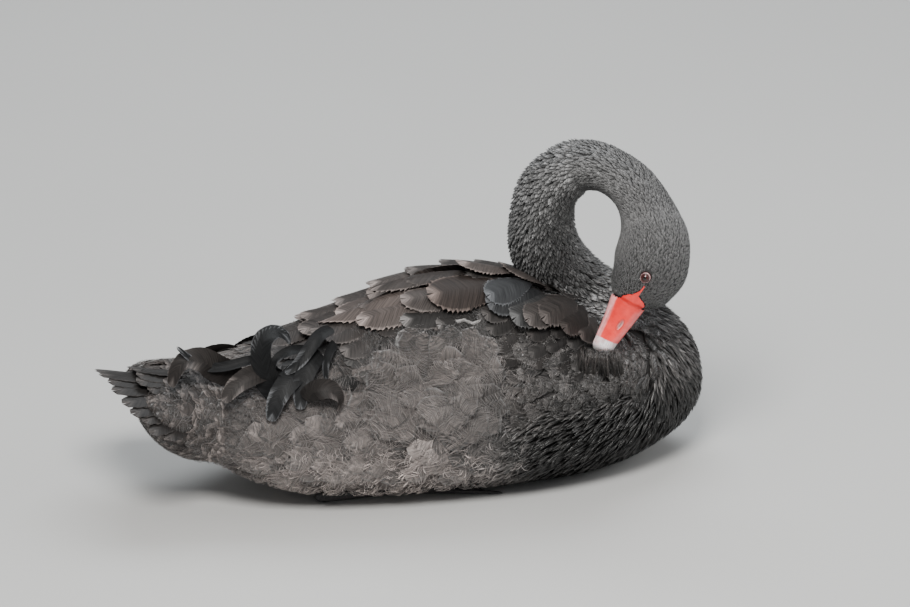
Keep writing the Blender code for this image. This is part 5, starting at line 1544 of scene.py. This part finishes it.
def bare_skin(side):
    """Bare skin between the bill and the feathers of one side of the head, a sheet along the hide.

    Its rows run from 12 mm along the bill, whose outline they follow, back to bare_end(turn), passing by
    a smooth step into the hide, over which they stand 0.8 mm, thinning at the edge.
    """
    turns = -side * np.radians(np.concatenate((
        np.linspace(180, 84, 40), np.linspace(82.5, 60, 76), np.linspace(59, 0, 36),
    )))
    middle = BILL_ROOT + head_crown * HEAD_AXIS[0][1]
    before = np.linspace(-BARE_ON_BILL, 0, BARE_ROWS_ON_BILL + 1)[:-1]
    along = np.linspace(0, 1, BARE_ROWS_BEHIND)
    behind = (bare_end(turns)[:, None] + 0.0010) * along
    at = np.concatenate((np.broadcast_to(before, (len(turns), BARE_ROWS_ON_BILL)), behind), axis=1)
    on_bill = [bill_radius(turns, max(-row, 0.0) / BILL_LENGTH) for row in before]
    on_bill += [bill_radius(turns, 0.0)] * BARE_ROWS_BEHIND
    radius = np.stack(on_bill, axis=1) + 0.0002 - 0.0004 * (np.minimum(at, 0) / BARE_ON_BILL) ** 2
    turn = np.broadcast_to(turns[:, None], at.shape)
    ray = head_crown * np.cos(turn)[..., None] - head_right * np.sin(turn)[..., None]
    from_bill = (middle + head_back * at[..., None] + ray * radius[..., None]).reshape(-1, 3)
    tube = neck_surface(np.maximum(at, 0.0), turn).reshape(-1, 3)
    settled, up = settle(tube)
    sunk = ease(0.008, 0.015, at).reshape(-1, 1)
    flat_ray = ray.reshape(-1, 3)
    up = unit(up * sunk + flat_ray * (1 - sunk))
    thinning = np.sqrt(np.clip(1 - np.concatenate((np.zeros(BARE_ROWS_ON_BILL), along)) ** 4, 0.0, 1))
    rise = np.broadcast_to(BARE_RISE * thinning - 0.0004, at.shape).reshape(-1, 1)
    from_hide = settled * sunk + (tube - flat_ray * COAT_DEPTHS[0][1]) * (1 - sunk) + up * rise
    share = ease(0.0, 0.0080, at).reshape(-1, 1)
    top = from_bill * (1 - share) + from_hide * share
    low = top - unit(flat_ray * (1 - share) + up * share) * BARE_THICKNESS
    quads = sheet_faces(*at.shape)
    points = np.concatenate((top, low))
    a, b, c = points[quads[0, :3]]
    facing_out = np.dot(np.cross(b - a, c - a), a - middle) > 0
    return points, quads if facing_out else quads[:, ::-1]


wet = finish("eye_wet", 900.0, (0.0, 0.6, 0.6, 0.6), (1.0, 1.3, 1.3, 1.3), Roughness=0.12, Coat_Weight=0.3,
             Coat_Roughness=0.05)
for side, name in ((1, "right"), (-1, "left")):
    rings = eye_ball(side)
    points = tube_points(rings)
    ball = woven("eye_ball_" + name, points, *tube_faces(*rings.shape[:2]))
    facing = unit(points - eye_middles[side]) @ eye_looks[side]
    pupil = ease(0.955, 0.97, facing)[:, None]
    wear_colour(ball, IRIS * (1 - pupil) + PUPIL_GREY * pupil)
    ball.data.materials.append(wet)
    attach(ball, "root")
    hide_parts("eye_" + name)
    sheets = [lid_ring(side, *sizes) for *sizes, _ in LIDS] + [bare_skin(side)]
    colours = [np.tile(lid[-1], (len(sheet[0]), 1)) for lid, sheet in zip(LIDS, sheets)]
    colours.append(bill_colours(sheets[-1][0], True))
    firsts = np.cumsum([0] + [len(sheet[0]) for sheet in sheets])
    lid = woven(
        "lids_and_bare_skin_" + name,
        np.concatenate([sheet[0] for sheet in sheets]),
        np.concatenate([sheet[1] + first for sheet, first in zip(sheets, firsts)]),
    )
    wear_colour(lid, np.concatenate(colours))
    lid.data.materials.append(horn)
    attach(lid, "root")

# Legs and feet.
# Dark grey scaly skin over bone, folded flat under the belly, with webs between the toes.
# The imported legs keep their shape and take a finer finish: small horny plates, darker in their seams.
scaly = finish("scaly_leg", 420.0, (0.0, 0.012, 0.011, 0.012), (0.35, 0.055, 0.052, 0.055),
               relief=(0.5, 0.0006), cells=True, plume=False, Roughness=0.55)
for name in ("leg_left", "leg_right"):
    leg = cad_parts[name]
    leg.data.materials.clear()
    leg.data.materials.append(scaly)

# Floor, light and camera.
# A plain pale floor, broad soft lamps from above and both sides, and the camera at the photograph's angle.
# The camera looks down a little from the bird's right, far off, through a long lens.
FLOOR_SIZE = 9.0
VIEW_BACK = np.array((-0.2364, -0.8824, 0.4067))
VIEW_RIGHT = np.array((0.9659, -0.2588, 0.0))
VIEW_UP = np.array((0.1053, 0.3928, 0.9135))
VIEW_DISTANCE = 20.0
# the middle of the frame, from a place 60 mm over the origin, along the frame's own right and up
VIEW_TARGET = np.array((0.0, 0.0, 0.06)) + VIEW_RIGHT * 0.03676 + VIEW_UP * 0.12027
VIEW_LENS = 753.1

half = FLOOR_SIZE / 2
floor = woven(
    "floor",
    np.array(((-half, -half, 0.0), (half, -half, 0.0), (half, half, 0.0), (-half, half, 0.0))),
    np.array(((0, 1, 2, 3),)),
)
floor.data.materials.append(
    finish("pale_floor", 1.5, (0.0, 0.50, 0.50, 0.49), (1.0, 0.56, 0.56, 0.55), plume=False, Roughness=0.85)
)


def turned_to(place, target):
    """The rotation that points a lamp or camera, which look along -Z, from its place to a target."""
    return (Vector(target) - Vector(place)).to_track_quat("-Z", "Y").to_euler()


def soft_lamp(name, place, size, watts, colour):
    """A flat oblong lamp that looks at the bird's middle."""
    lamp = bpy.data.lights.new(name, "AREA")
    lamp.shape = "RECTANGLE"
    lamp.size, lamp.size_y = size
    lamp.energy = watts
    lamp.color = colour
    thing = bpy.data.objects.new(name, lamp)
    thing.location = place
    thing.rotation_euler = turned_to(place, (0.0, 0.0, 0.1))
    bpy.context.scene.collection.objects.link(thing)


soft_lamp("key_lamp", place=(-0.6, -1.6, 2.2), size=(1.0, 0.8), watts=92, colour=(1.0, 0.98, 0.95))
soft_lamp("sky_lamp", place=(0.5, 1.2, 2.4), size=(2.2, 1.4), watts=52, colour=(0.93, 0.97, 1.0))
soft_lamp("side_lamp", place=(2.2, -0.6, 1.2), size=(1.2, 1.2), watts=20, colour=(1.0, 1.0, 1.0))
world = bpy.data.worlds.new("studio")
bpy.context.scene.world = world
world.use_nodes = True
world.node_tree.nodes["Background"].inputs["Color"].default_value = (0.86, 0.88, 0.90, 1)
world.node_tree.nodes["Background"].inputs["Strength"].default_value = 0.34
camera_lens = bpy.data.cameras.new("camera")
camera_lens.lens = VIEW_LENS
camera_lens.sensor_width = 36.0
camera_lens.clip_end = 60.0
camera = bpy.data.objects.new("camera", camera_lens)
camera.location = VIEW_TARGET + VIEW_BACK * VIEW_DISTANCE
camera.rotation_euler = turned_to(camera.location, VIEW_TARGET)
bpy.context.scene.collection.objects.link(camera)
bpy.context.scene.camera = camera

bpy.context.view_layer.update()
